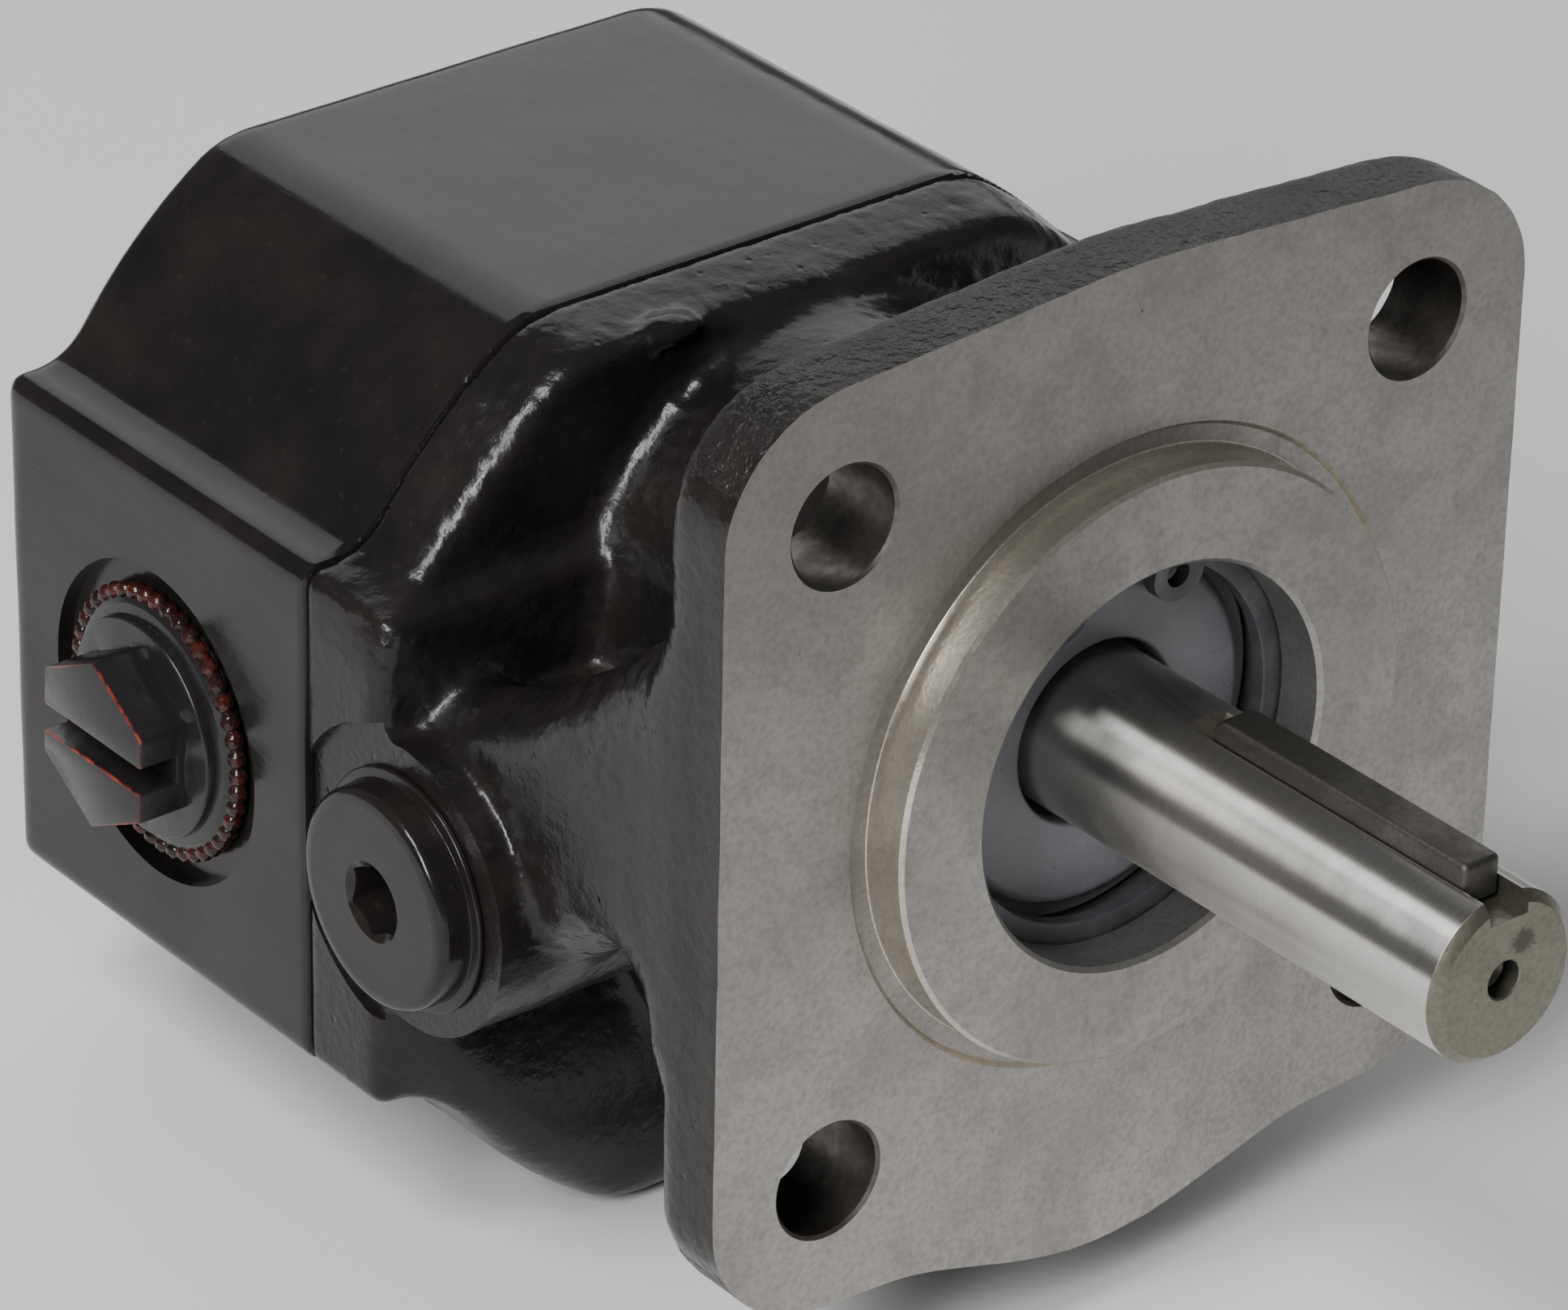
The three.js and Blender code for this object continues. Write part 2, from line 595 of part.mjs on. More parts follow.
// A push-and-turn shipping plug: threaded body, knurled rim, hexagon head with a slot.
function portPlug({ side, threadRadius }, rimRadius, hexRadius) {
  const { padX } = SECTION;
  const seatX = padX - SPOTFACE_DEPTH + 0.2;
  const bodyRadius = threadRadius - 0.35;
  const neckRadius = bodyRadius - 1;
  const stepRadius = hexRadius + 1.4;
  const stemLength = 9;
  const rimTop = seatX + 2.6;
  const profile = [
    [0, seatX - stemLength], [neckRadius, seatX - stemLength], [bodyRadius, seatX - stemLength + 1],
    [bodyRadius, seatX - 2], [neckRadius, seatX - 1.8], [neckRadius, seatX], [rimRadius, seatX],
    [rimRadius, seatX + 1.5], [stepRadius, seatX + 2.2], [stepRadius, rimTop], [0, rimTop],
  ];
  const stem = turnedX(profile.map(([radius, x]) => [radius, side * x]), 28, PORT.y, PORT.z);
  const topX = 44.6;
  const head = rodX(hexRadius, side * (rimTop - 0.6), side * topX, PORT.y, PORT.z, 6);
  const slotHalf = 1.5;
  const slotDepth = 3.2;
  const [x0, x1] = side < 0 ? [-topX - 1, -topX + slotDepth] : [topX - slotDepth, topX + 1];
  const slot = box(
    x0, x1, PORT.y - hexRadius - 1, PORT.y + hexRadius - 2.2, PORT.z - slotHalf, PORT.z + slotHalf,
  );
  return cut(joined(stem, head), slot);
}

function portPlugSeal({ side, threadRadius }) {
  const x = side * (SECTION.padX - SPOTFACE_DEPTH - 0.85);
  const cord = 0.4;
  const radius = threadRadius - 0.75;
  return solidOf(oRing(radius, cord).rotateY(Math.PI / 2).translate(x, PORT.y, PORT.z));
}

// ---------------------------------------------------------------- materials

const finish = (color, roughness, metalness) => (
  new THREE.MeshStandardMaterial({ color, roughness, metalness })
);
const BLACK_ENAMEL = finish(0x1d1b1a, 0.25, 0);
const GROUND_STEEL = finish(0xb9b6ae, 0.28, 1);
const DARK_STEEL = finish(0x3c3835, 0.45, 1);
const BUSH_BRONZE = finish(0xa07a48, 0.4, 1);
const PLATE_BRONZE = finish(0x9a8050, 0.45, 1);
const SEAL_RUBBER = finish(0x6c7280, 0.6, 0);
const BLACK_RUBBER = finish(0x151515, 0.7, 0);
const SPRING_STEEL = finish(0x77777a, 0.35, 1);
const PLUG_PLASTIC = finish(0x2a1512, 0.35, 0);

// ---------------------------------------------------------------- assembly

const pump = new THREE.Group();

function add(name, solid, material) {
  const mesh = new THREE.Mesh(geometryOf(solid), material);
  mesh.name = name;
  pump.add(mesh);
}

add("front_cover", frontCover(), BLACK_ENAMEL);
add("gear_housing", gearHousing(), BLACK_ENAMEL);
add("body_seal", bodySeal(), BLACK_RUBBER);
eachBolt((x, z) => [x, z]).forEach(([x, z], i) => {
  add(`cover_bolt_${i + 1}`, coverBolt(x, z), DARK_STEEL);
  add(`bolt_washer_${i + 1}`, boltWasher(x, z), SPRING_STEEL);
});
DOWELS.forEach(([x, z], i) => add(`dowel_pin_${i + 1}`, dowelPin(x, z), GROUND_STEEL));

add("drive_shaft", driveShaft(), GROUND_STEEL);
add("shaft_key", shaftKey(), DARK_STEEL);
add("drive_gear", gear(0, -Math.PI / 2), GROUND_STEEL);
add("drive_gear_key", gearKey(0), DARK_STEEL);
add("idler_shaft", idlerShaft(), GROUND_STEEL);
add("driven_gear", gear(-CENTRE_DISTANCE, Math.PI / 2 + Math.PI / GEARS.teeth), GROUND_STEEL);
add("driven_gear_key", gearKey(-CENTRE_DISTANCE), DARK_STEEL);

[["drive", 0], ["idler", -CENTRE_DISTANCE]].forEach(([shaft, z]) => {
  add(`${shaft}_front_bush`, bush(FRONT_BUSH, z), BUSH_BRONZE);
  add(`${shaft}_rear_bush`, bush(REAR_BUSH, z), BUSH_BRONZE);
});
add("front_wear_block", wearPlate(SEAM_Y + 0.4, GEARS.frontY - GAP), PLATE_BRONZE);
add("rear_wear_plate", wearPlate(GEARS.rearY + GAP, CHAMBER.endY - GAP), PLATE_BRONZE);

add("shaft_seal", shaftSeal(), SEAL_RUBBER);
add("seal_garter_spring", garterSpring(), SPRING_STEEL);
add("retaining_ring", retainingRing(), DARK_STEEL);

add("valve_plug", valvePlug(), BLACK_ENAMEL);
add("valve_plug_seal", valvePlugSeal(), BLACK_RUBBER);
add("relief_spring", reliefSpring(), SPRING_STEEL);
add("relief_poppet", reliefPoppet(), GROUND_STEEL);
add("relief_seat", reliefSeat(), GROUND_STEEL);

add("outlet_plug", portPlug(OUTLET, 10.7, 7), PLUG_PLASTIC);
add("outlet_plug_seal", portPlugSeal(OUTLET), BLACK_RUBBER);
add("inlet_plug", portPlug(INLET, 13.2, 8.7), PLUG_PLASTIC);
add("inlet_plug_seal", portPlugSeal(INLET), BLACK_RUBBER);

const baseZ = 2 * MID_Z - SECTION.topZ;
pump.position.set(0, -(SHAFT.frontY + REAR_Y) / 2, -baseZ);

const gearPump = new THREE.Group();
gearPump.add(pump);

export default gearPump;
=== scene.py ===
"""Looks of a flange-mounted hydraulic gear pump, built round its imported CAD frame.

Shapes are drawn in the pump's own millimetres: Y runs along the drive shaft to the rear, Y = 0 is
the front face of the mounting flange, X = 0 the middle plane and Z = 0 the drive shaft's axis.
to_metres() carries them into the frame. The two castings are distance fields, cast with a grain,
turned into meshes and then machined by cutting tools.
"""
import math

import bpy
import numpy as np
import openvdb
from mathutils import Matrix, Vector


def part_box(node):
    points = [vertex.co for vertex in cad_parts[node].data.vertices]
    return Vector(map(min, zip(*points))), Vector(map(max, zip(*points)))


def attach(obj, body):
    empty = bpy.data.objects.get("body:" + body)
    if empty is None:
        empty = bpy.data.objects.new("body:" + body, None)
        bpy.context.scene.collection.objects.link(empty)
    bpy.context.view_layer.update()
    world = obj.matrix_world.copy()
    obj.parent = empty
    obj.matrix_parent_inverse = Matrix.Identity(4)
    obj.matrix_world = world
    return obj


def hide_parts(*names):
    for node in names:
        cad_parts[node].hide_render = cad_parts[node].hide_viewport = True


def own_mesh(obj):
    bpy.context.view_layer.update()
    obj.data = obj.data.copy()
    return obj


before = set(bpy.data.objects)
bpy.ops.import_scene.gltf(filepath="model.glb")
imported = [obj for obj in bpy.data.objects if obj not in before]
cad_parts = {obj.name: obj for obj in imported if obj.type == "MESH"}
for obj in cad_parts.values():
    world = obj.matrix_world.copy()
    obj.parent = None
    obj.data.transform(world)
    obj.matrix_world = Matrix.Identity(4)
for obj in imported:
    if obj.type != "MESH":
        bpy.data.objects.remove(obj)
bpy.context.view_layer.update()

MM = 0.001
shaft_low, shaft_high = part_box("drive_shaft")
SHAFT_FRONT_Y = -38.1
DATUM = Vector((0, shaft_low.y - SHAFT_FRONT_Y * MM, (shaft_low.z + shaft_high.z) / 2))

# ------------------------------------------------------------------ driving dimensions, millimetres

VOXEL = 0.42  # cell of the castings' distance fields
CENTRE_DISTANCE = 24
MID_Z = -CENTRE_DISTANCE / 2
FLANGE = dict(thickness=7, hole_offset=25.485, hole_radius=4.37, corner=10.25, peak=37.5, slope=0.0645)
FLANGE_HALF = FLANGE["hole_offset"] + FLANGE["corner"]
PILOT = dict(radius=22.6, height=3.3, groove_radius=24.1, groove_depth=0.4)
SECTION = dict(radius=39.6, half_height=34.3, pad_x=39.1, pad_half=20.3)
SEAM = dict(cover_y=42.17, housing_y=42.23, rear_y=79.9)
SEAL_BORE = dict(radius=15.2, end_y=10.3)
RING_GROOVE = dict(radius=16.2, front_y=0.7, rear_y=2.3)
BUSH_HOLE = 9.2
BOLT = dict(x=24, dz=20, hole=4.35, shank=3.97, tip_y=37.2, head_y=72.9, head_radius=6.2, head_height=6.4)
COUNTERBORE = dict(radius=6.9, y=71.2)
VALVE = dict(y=31.3, z=-12.5, face_x=-38.3, boss_radius=11, spotface=12.6, bore=6.35)
PORT = dict(y=61, z=-12.5, spotface_depth=1.3, depth=13)
OUTLET = dict(side=-1, spotface=12.46, thread=7.15, passage=4.3, rim=10.7, hexagon=7)
INLET = dict(side=1, spotface=15.1, thread=9.55, passage=5, rim=13.2, hexagon=8.7)
SHAFT = dict(radius=6.35, front_y=SHAFT_FRONT_Y, rear_y=75.3, chamfer=0.7)
KEY = dict(width=3.175, front_y=-35.4, rear_y=-10.4, bottom_z=4.7, top_z=7.85)
AXES_Z = (0, -CENTRE_DISTANCE)
FLANGE_HOLES = [(x * FLANGE["hole_offset"], z * FLANGE["hole_offset"]) for x in (-1, 1) for z in (-1, 1)]
BOLTS = [(side * BOLT["x"], MID_Z + end * BOLT["dz"]) for side in (-1, 1) for end in (1, -1)]
DOWELS = [(-31, 0), (31, -CENTRE_DISTANCE)]


def to_metres(points):
    return np.asarray(points, float) * MM + np.array(DATUM)


# ------------------------------------------------------------------ materials

def node(tree, kind, inputs=None, **settings):
    """A shader node; its inputs are numbers, colours or other nodes' output sockets."""
    made = tree.nodes.new("ShaderNode" + kind)
    for name, value in settings.items():
        setattr(made, name, value)
    for name, value in (inputs or {}).items():
        socket = made.inputs[name]
        if isinstance(value, bpy.types.NodeSocket):
            tree.links.new(value, socket)
        else:
            socket.default_value = value
    return made


def darker(colour, share):
    return tuple(share * value for value in colour)


class Finish:
    """A principled material in the making, with noises sized in millimetres of the frame."""

    def __init__(self, name):
        self.material = bpy.data.materials.new(name)
        self.material.use_nodes = True
        self.tree = self.material.node_tree
        self.shader = self.tree.nodes["Principled BSDF"]
        self.place = node(self.tree, "TexCoord").outputs["Object"]
        self.normal = None

    def stretched(self, sx, sy, sz):
        return node(self.tree, "Mapping", {"Vector": self.place, "Scale": (sx, sy, sz)}).outputs["Vector"]

    def noise(self, size, detail=3, roughness=0.55, place=None, distortion=0):
        inputs = {"Vector": place or self.place, "Scale": 1 / (size * MM), "Detail": detail,
                  "Roughness": roughness, "Distortion": distortion}
        return node(self.tree, "TexNoise", inputs).outputs["Fac"]

    def cells(self, size):
        inputs = {"Vector": self.place, "Scale": 1 / (size * MM)}
        return node(self.tree, "TexVoronoi", inputs).outputs["Distance"]

    def ramp(self, value, low, high, to_low=0.0, to_high=1.0):
        inputs = {"Value": value, "From Min": low, "From Max": high, "To Min": to_low, "To Max": to_high}
        return node(self.tree, "MapRange", inputs).outputs["Result"]

    def math(self, operation, a, b):
        made = node(self.tree, "Math", operation=operation)
        for socket, value in zip(made.inputs, (a, b)):
            if isinstance(value, bpy.types.NodeSocket):
                self.tree.links.new(value, socket)
            else:
                socket.default_value = value
        return made.outputs["Value"]

    def mix(self, factor, first, second):
        inputs = {"Fac": factor}
        for name, value in (("Color1", first), ("Color2", second)):
            inputs[name] = value if isinstance(value, bpy.types.NodeSocket) else (*value, 1)
        return node(self.tree, "MixRGB", inputs).outputs["Color"]

    def bump(self, height, depth):
        """Adds relief of that many millimetres for a height from 0 to 1."""
        inputs = {"Height": height, "Distance": depth * MM, "Strength": 1}
        if self.normal:
            inputs["Normal"] = self.normal
        self.normal = node(self.tree, "Bump", inputs).outputs["Normal"]

    def done(self, colour, roughness, **uniform):
        for name, value in (("Base Color", colour), ("Roughness", roughness)):
            self.tree.links.new(value, self.shader.inputs[name])
        for name, value in uniform.items():
            self.shader.inputs[name.replace("_", " ")].default_value = value
        if self.normal:
            self.tree.links.new(self.normal, self.shader.inputs["Normal"])
        return self.material


def enamel(name, grain, orange_peel, pits, sheen, streaks=0.0):
    """Black gloss enamel: sand grain and pits below it, orange peel, streaks, and brown dust on it.

    grain, orange_peel, pits and streaks are depths in millimetres.
    """
    finish = Finish(name)
    fine = finish.noise(0.85, 3)
    black, brown, dust = (0.0085, 0.0075, 0.0075), (0.0165, 0.014, 0.0125), (0.035, 0.031, 0.028)
    colour = finish.mix(finish.ramp(finish.noise(9, 4), 0.35, 0.7), black, brown)
    colour = finish.mix(finish.ramp(fine, 0.62, 0.78, 0, 0.35), colour, dust)
    roughness = finish.ramp(finish.noise(4.5, 5, 0.6), 0.3, 0.75, *sheen)
    finish.bump(finish.noise(2.6, 2), orange_peel)
    finish.bump(fine, grain)
    if pits:
        hollow = finish.ramp(finish.cells(2.2), 0.0, 0.16)
        finish.bump(finish.math("MAXIMUM", hollow, finish.ramp(finish.noise(5), 0.5, 0.56)), pits)
    if streaks:
        drawn = finish.noise(1.3, 4, 0.65, finish.stretched(1, 0.14, 0.8), distortion=0.4)
        finish.bump(drawn, streaks)
    return finish.done(colour, roughness, IOR=1.4)


def machined_iron(name, base, tint, roughness, painted_top_shade=0.0, blot=None):
    """Bare faced iron: fine matt tool grain, soft stains, dark specks, and painted shade darkening it
    toward the top.

    blot is the place of one dark oily spot, in the pump's millimetres.
    """
    finish = Finish(name)
    stain = finish.noise(15, 5, 0.62, distortion=0.8)
    patch = finish.noise(4, 5, 0.65)
    speck = finish.noise(0.5, 2)
    colour = finish.mix(finish.ramp(stain, 0.41, 0.59), base, tint)
    colour = finish.mix(finish.ramp(patch, 0.5, 0.75, 0, 0.3), colour, darker(base, 0.66))
    colour = finish.mix(finish.ramp(speck, 0.38, 0.72, 0, 0.42), colour, darker(base, 0.55))
    # Painted shade: the colour darkens with height toward the top of the face, its edge made ragged by the
    # stain noise.
    if painted_top_shade:
        height = node(finish.tree, "SeparateXYZ", {"Vector": finish.place}).outputs["Z"]
        wavy = finish.math("ADD", height, finish.ramp(stain, 0.3, 0.7, -0.012, 0.012))
        colour = finish.mix(finish.ramp(wavy, 0.01, 0.085, 0, painted_top_shade), colour, darker(base, 0.3))
    if blot:
        spot = tuple(-value for value in to_metres(blot))
        away = node(finish.tree, "Mapping", {"Vector": finish.place, "Location": spot}).outputs["Vector"]
        away = node(finish.tree, "VectorMath", {"Vector": away}, operation="LENGTH").outputs["Value"]
        ragged = finish.math("ADD", away, finish.ramp(speck, 0.3, 0.7, -0.0005, 0.0005))
        colour = finish.mix(finish.ramp(ragged, 0.0007, 0.0012, 0.7, 0), colour, (0.03, 0.028, 0.03))
    dirt = finish.ramp(finish.noise(1.2, 4, 0.7), 0.71, 0.78)
    colour = finish.mix(dirt, colour, (0.05, 0.042, 0.033))
    rough = finish.ramp(patch, 0.25, 0.8, roughness - 0.05, roughness + 0.12)
    finish.bump(finish.noise(0.45, 2), 0.02)
    finish.bump(patch, 0.03)
    return finish.done(colour, rough, Metallic=0.9, IOR=1.5)


def ground_steel(name, base, roughness):
    """Ground bar: the fine rings of the grinding spread its reflections along the bar's axis."""
    finish = Finish(name)
    hair = finish.noise(0.16, 3, 0.7, finish.stretched(0.05, 1, 0.05))
    stain = finish.noise(7, 4)
    colour = finish.mix(finish.ramp(hair, 0.3, 0.75), base, darker(base, 0.84))
    colour = finish.mix(finish.ramp(stain, 0.5, 0.75, 0, 0.3), colour, (0.42, 0.38, 0.31))
    nick = finish.ramp(finish.noise(0.9, 4, 0.7), 0.76, 0.79)
    colour = finish.mix(nick, colour, (0.16, 0.14, 0.12))
    rough = finish.ramp(finish.noise(3, 4), 0.3, 0.7, roughness - 0.02, roughness + 0.03)
    axis = node(finish.tree, "CombineXYZ", {"Y": 1.0}).outputs["Vector"]
    finish.tree.links.new(axis, finish.shader.inputs["Tangent"])
    return finish.done(colour, rough, Metallic=1.0, Anisotropic=0.97)


def worn_metal(name, base, worn, roughness, grain=0.6, depth=0.02, metallic=1.0):
    """Oiled, cast or sintered metal: blotchy, with rubbed high spots and a close grain."""
    finish = Finish(name)
    blotch = finish.noise(3.2, 5, 0.62)
    close = finish.noise(grain, 3)
    colour = finish.mix(finish.ramp(blotch, 0.42, 0.7), base, worn)
    colour = finish.mix(finish.ramp(close, 0.45, 0.8, 0, 0.5), colour, darker(base, 0.6))
    rough = finish.ramp(blotch, 0.3, 0.7, roughness + 0.08, roughness - 0.06)
    finish.bump(close, depth)
    return finish.done(colour, rough, Metallic=metallic)


def rubber(name, base, dusty, roughness):
    finish = Finish(name)
    dust = finish.noise(2.4, 5, 0.68)
    speck = finish.noise(0.4, 2)
    colour = finish.mix(finish.ramp(dust, 0.5, 0.78, 0, 0.8), base, dusty)
    colour = finish.mix(finish.ramp(speck, 0.66, 0.72, 0, 0.8), colour, darker(base, 0.3))
    rough = finish.ramp(dust, 0.35, 0.7, roughness - 0.08, roughness + 0.1)
    finish.bump(speck, 0.01)
    return finish.done(colour, rough, IOR=1.5)


def painted_plastic(name, thick, thin, share):
    """Moulded plastic under a black overspray, which lets the red through where it is thin."""
    finish = Finish(name)
    cover = finish.noise(1.3, 4, 0.6)
    colour = finish.mix(finish.ramp(cover, share, share + 0.2), thick, thin)
    rough = finish.ramp(finish.noise(2.5, 3), 0.3, 0.7, 0.13, 0.3)
    finish.bump(finish.noise(0.8, 3), 0.02)
    return finish.done(colour, rough, IOR=1.48)


LOOKS = {
    "enamel_cast": enamel("enamel_cast", 0.075, 0.045, 0.06, (0.16, 0.36)),
    "enamel_sanded": enamel("enamel_sanded", 0.4, 0.03, 0.1, (0.3, 0.5)),
    "enamel_smooth": enamel("enamel_smooth", 0.005, 0.014, 0, (0.1, 0.24), 0.026),
    # The faced front gets painted shade toward its top.
    "iron_face": machined_iron("iron_face", (0.335, 0.32, 0.30), (0.44, 0.42, 0.395), 0.4, painted_top_shade=0.52),
    # Turned walls: a smoother turned finish, and a colour brighter than the faced iron as a painted
    # highlight.
    "iron_turned_painted_highlight": machined_iron("iron_turned_painted_highlight", (0.52, 0.49, 0.42), (0.6, 0.565, 0.49), 0.22),
    "iron_bore": machined_iron("iron_bore", (0.36, 0.35, 0.335), (0.42, 0.40, 0.38), 0.34),
    "iron_hole": worn_metal("iron_hole", (0.10, 0.09, 0.08), (0.2, 0.185, 0.165), 0.42),
    "ground_steel": ground_steel("ground_steel", (0.68, 0.66, 0.63), 0.25),
    "shaft_end": machined_iron(
        "shaft_end", (0.165, 0.16, 0.125), (0.215, 0.21, 0.165), 0.36, blot=(1.5, SHAFT_FRONT_Y, 2.5)),
    "key_steel": worn_metal(
        "key_steel", (0.10, 0.094, 0.086), (0.15, 0.141, 0.128), 0.5, grain=0.3, depth=0.03),
    "dark_steel": worn_metal("dark_steel", (0.075, 0.066, 0.058), (0.16, 0.145, 0.125), 0.42),
    "ring_steel": worn_metal(
        "ring_steel", (0.07, 0.072, 0.08), (0.12, 0.124, 0.132), 0.42, depth=0.008, metallic=0.4),
    "spring_steel": worn_metal("spring_steel", (0.30, 0.30, 0.31), (0.42, 0.41, 0.40), 0.28, depth=0.006),
    "bush_bronze": worn_metal("bush_bronze", (0.42, 0.27, 0.12), (0.55, 0.38, 0.19), 0.32),
    "plate_bronze": worn_metal("plate_bronze", (0.36, 0.27, 0.13), (0.48, 0.38, 0.22), 0.36, grain=0.9),
    "seal_rubber": rubber("seal_rubber", (0.155, 0.16, 0.175), (0.23, 0.235, 0.25), 0.4),
    "black_rubber": rubber("black_rubber", (0.014, 0.014, 0.015), (0.04, 0.04, 0.04), 0.55),
    "plug_painted": painted_plastic("plug_painted", (0.013, 0.0115, 0.012), (0.03, 0.011, 0.01), 0.62),
    "plug_beads": painted_plastic("plug_beads", (0.016, 0.006, 0.005), (0.065, 0.009, 0.006), 0.48),
    "plug_edges": painted_plastic("plug_edges", (0.03, 0.009, 0.008), (0.3, 0.03, 0.015), 0.46),
}

# ------------------------------------------------------------------ meshes


def mesh_object(name, points, faces, looks=("enamel_smooth",), face_looks=None):
    """An object from points in the pump's millimetres; face_looks numbers each face's look."""
    mesh = bpy.data.meshes.new(name)
    mesh.from_pydata(to_metres(points).tolist(), [], [list(map(int, face)) for face in faces])
    mesh.validate()
    made = bpy.data.objects.new(name, mesh)
    bpy.context.scene.collection.objects.link(made)
    for look in looks:
        mesh.materials.append(LOOKS[look])
    if face_looks is not None:
        mesh.polygons.foreach_set("material_index", np.broadcast_to(face_looks, len(mesh.polygons)))
    mesh.update()
    return made


def turned_out(points, faces):
    """The faces, all reversed if they enclose a negative volume."""
    points = np.asarray(points, float)
    volume = 0.0
    for face in faces:
        first = points[face[0]]
        for a, b in zip(face[1:-1], face[2:]):
            volume += np.dot(first, np.cross(points[a], points[b]))
    return faces if volume > 0 else [face[::-1] for face in faces]


def soften(corners, steps=5):
    """A closed outline of (u, v) or (u, v, radius) corners, its radii drawn as arcs."""
    points = []
    count = len(corners)
    for i, (u, v, *rest) in enumerate(corners):
        here = np.array((u, v), float)
        if not rest:
            points.append(here)
            continue
        radius = rest[0]
        before = np.array(corners[i - 1][:2], float) - here
        after = np.array(corners[(i + 1) % count][:2], float) - here
        before /= np.linalg.norm(before)
        after /= np.linalg.norm(after)
        half = math.acos(np.clip(before @ after, -1, 1)) / 2
        middle = here + (before + after) / np.linalg.norm(before + after) * radius / math.sin(half)
        start = here + before * radius / math.tan(half) - middle
        end = here + after * radius / math.tan(half) - middle
        sweep = math.pi - 2 * half
        for step in range(steps + 1):
            t = step / steps
            arc = start * math.sin((1 - t) * sweep) + end * math.sin(t * sweep)
            points.append(middle + arc / math.sin(sweep))
    return points


def turn(profile, segments=128, axis="y", centre=(0, 0)):
    """Points and faces of a closed profile of (radius, distance) turned round an axis along Y or X.

    centre is (x, z) for an axis along Y, and (y, z) for one along X.
    """
    angles = np.arange(segments) * 2 * math.pi / segments
    points, rings = [], []
    for radius, distance in profile:
        if radius < 1e-9:
            rings.append([len(points)] * segments)
            points.append((0, distance, 0))
            continue
        rings.append(list(range(len(points), len(points) + segments)))
        points += [(radius * math.cos(a), distance, radius * math.sin(a)) for a in angles]
    faces = []
    for i, ring in enumerate(rings):
        following = rings[(i + 1) % len(rings)]
        for j in range(segments):
            k = (j + 1) % segments
            corners = [ring[j], ring[k], following[k], following[j]]
            face = list(dict.fromkeys(corners))
            if len(face) > 2:
                faces.append(face)
    points = np.array(points)
    if axis == "y":
        points = points + (centre[0], 0, centre[1])
    else:
        points = points[:, [1, 0, 2]] + (0, centre[0], centre[1])
    return points, turned_out(points, faces)


def prism(outline, low, high, axis):
    """Points and faces of an outline drawn across an axis: (x, z) along Y, or (y, z) along X."""
    count = len(outline)
    ends = [[(u, level, v) if axis == "y" else (level, u, v) for u, v in outline] for level in (low, high)]
    points = np.array(ends[0] + ends[1], float)
    faces = [list(range(count)), list(range(2 * count - 1, count - 1, -1))]
    faces += [[i, i + count, (i + 1) % count + count, (i + 1) % count] for i in range(count)]
    return points, turned_out(points, faces)


def block(x0, x1, y0, y1, z0, z1):
    return prism([(x0, z0), (x1, z0), (x1, z1), (x0, z1)], y0, y1, "y")


def rod(radius, start, end, axis="y", centre=(0, 0), segments=96):
    return turn([(0, start), (radius, start), (radius, end), (0, end)], segments, axis, centre)


def polygon(radius, count, first_degrees, centre):
    angles = [math.radians(first_degrees + 360 * i / count) for i in range(count)]
    return [(centre[0] + radius * math.cos(a), centre[1] + radius * math.sin(a)) for a in angles]


def apply_modifiers(made):
    bpy.context.view_layer.update()
    evaluated = made.evaluated_get(bpy.context.evaluated_depsgraph_get())
    mesh = bpy.data.meshes.new_from_object(evaluated)
    made.modifiers.clear()
    made.data = mesh


def combine(target, others, operation):
    """Cuts the target with other closed solids, or joins them to it, and removes them."""
    for other in others:
        modifier = target.modifiers.new("combine", "BOOLEAN")
        modifier.solver = "MANIFOLD"
        modifier.operation = operation
        modifier.object = other
    apply_modifiers(target)
    for other in others:
        bpy.data.objects.remove(other)
    return target


def carve(target, tools, operation="DIFFERENCE"):
    """Cuts the target with tools given as (points, faces, look number), or joins them to it."""
    cutters = []
    for i, (points, faces, look) in enumerate(tools):
        cutter = mesh_object(f"cutter_{i}", points, faces, ())
        for material in target.data.materials:
            cutter.data.materials.append(material)
        cutter.data.polygons.foreach_set("material_index", [look] * len(cutter.data.polygons))
        cutters.append(cutter)
    return combine(target, cutters, operation)


def finished(made, body, replaced, crease=32):
    """Smooth shading with creases at sharp edges, a CAD body to ride on, and what it stands for."""
    made.data.name = made.name
    made.data.shade_smooth()
    made.data.set_sharp_from_angle(angle=math.radians(crease))
    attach(made, body)
    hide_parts(replaced)


def rounded_edges(made, width, segments=3, angle=40):
    modifier = made.modifiers.new("edges", "BEVEL")
    modifier.width = width * MM
    modifier.segments = segments
    modifier.limit_method = "ANGLE"
    modifier.angle_limit = math.radians(angle)
    modifier.use_clamp_overlap = True
    apply_modifiers(made)


# ------------------------------------------------------------------ distance fields

def blend_min(a, b, k):
    h = np.clip(0.5 + 0.5 * (b - a) / k, 0, 1)
    return b + (a - b) * h - k * h * (1 - h)


def blend_max(a, b, k):
    return -blend_min(-a, -b, k)


def smooth_step(value):
    t = np.clip(value, 0, 1)
    return t * t * (3 - 2 * t)


def rounded_box(u, v, half_u, half_v, radius):
    du = np.abs(u) - half_u + radius
    dv = np.abs(v) - half_v + radius
    return np.hypot(np.maximum(du, 0), np.maximum(dv, 0)) + np.minimum(np.maximum(du, dv), 0) - radius


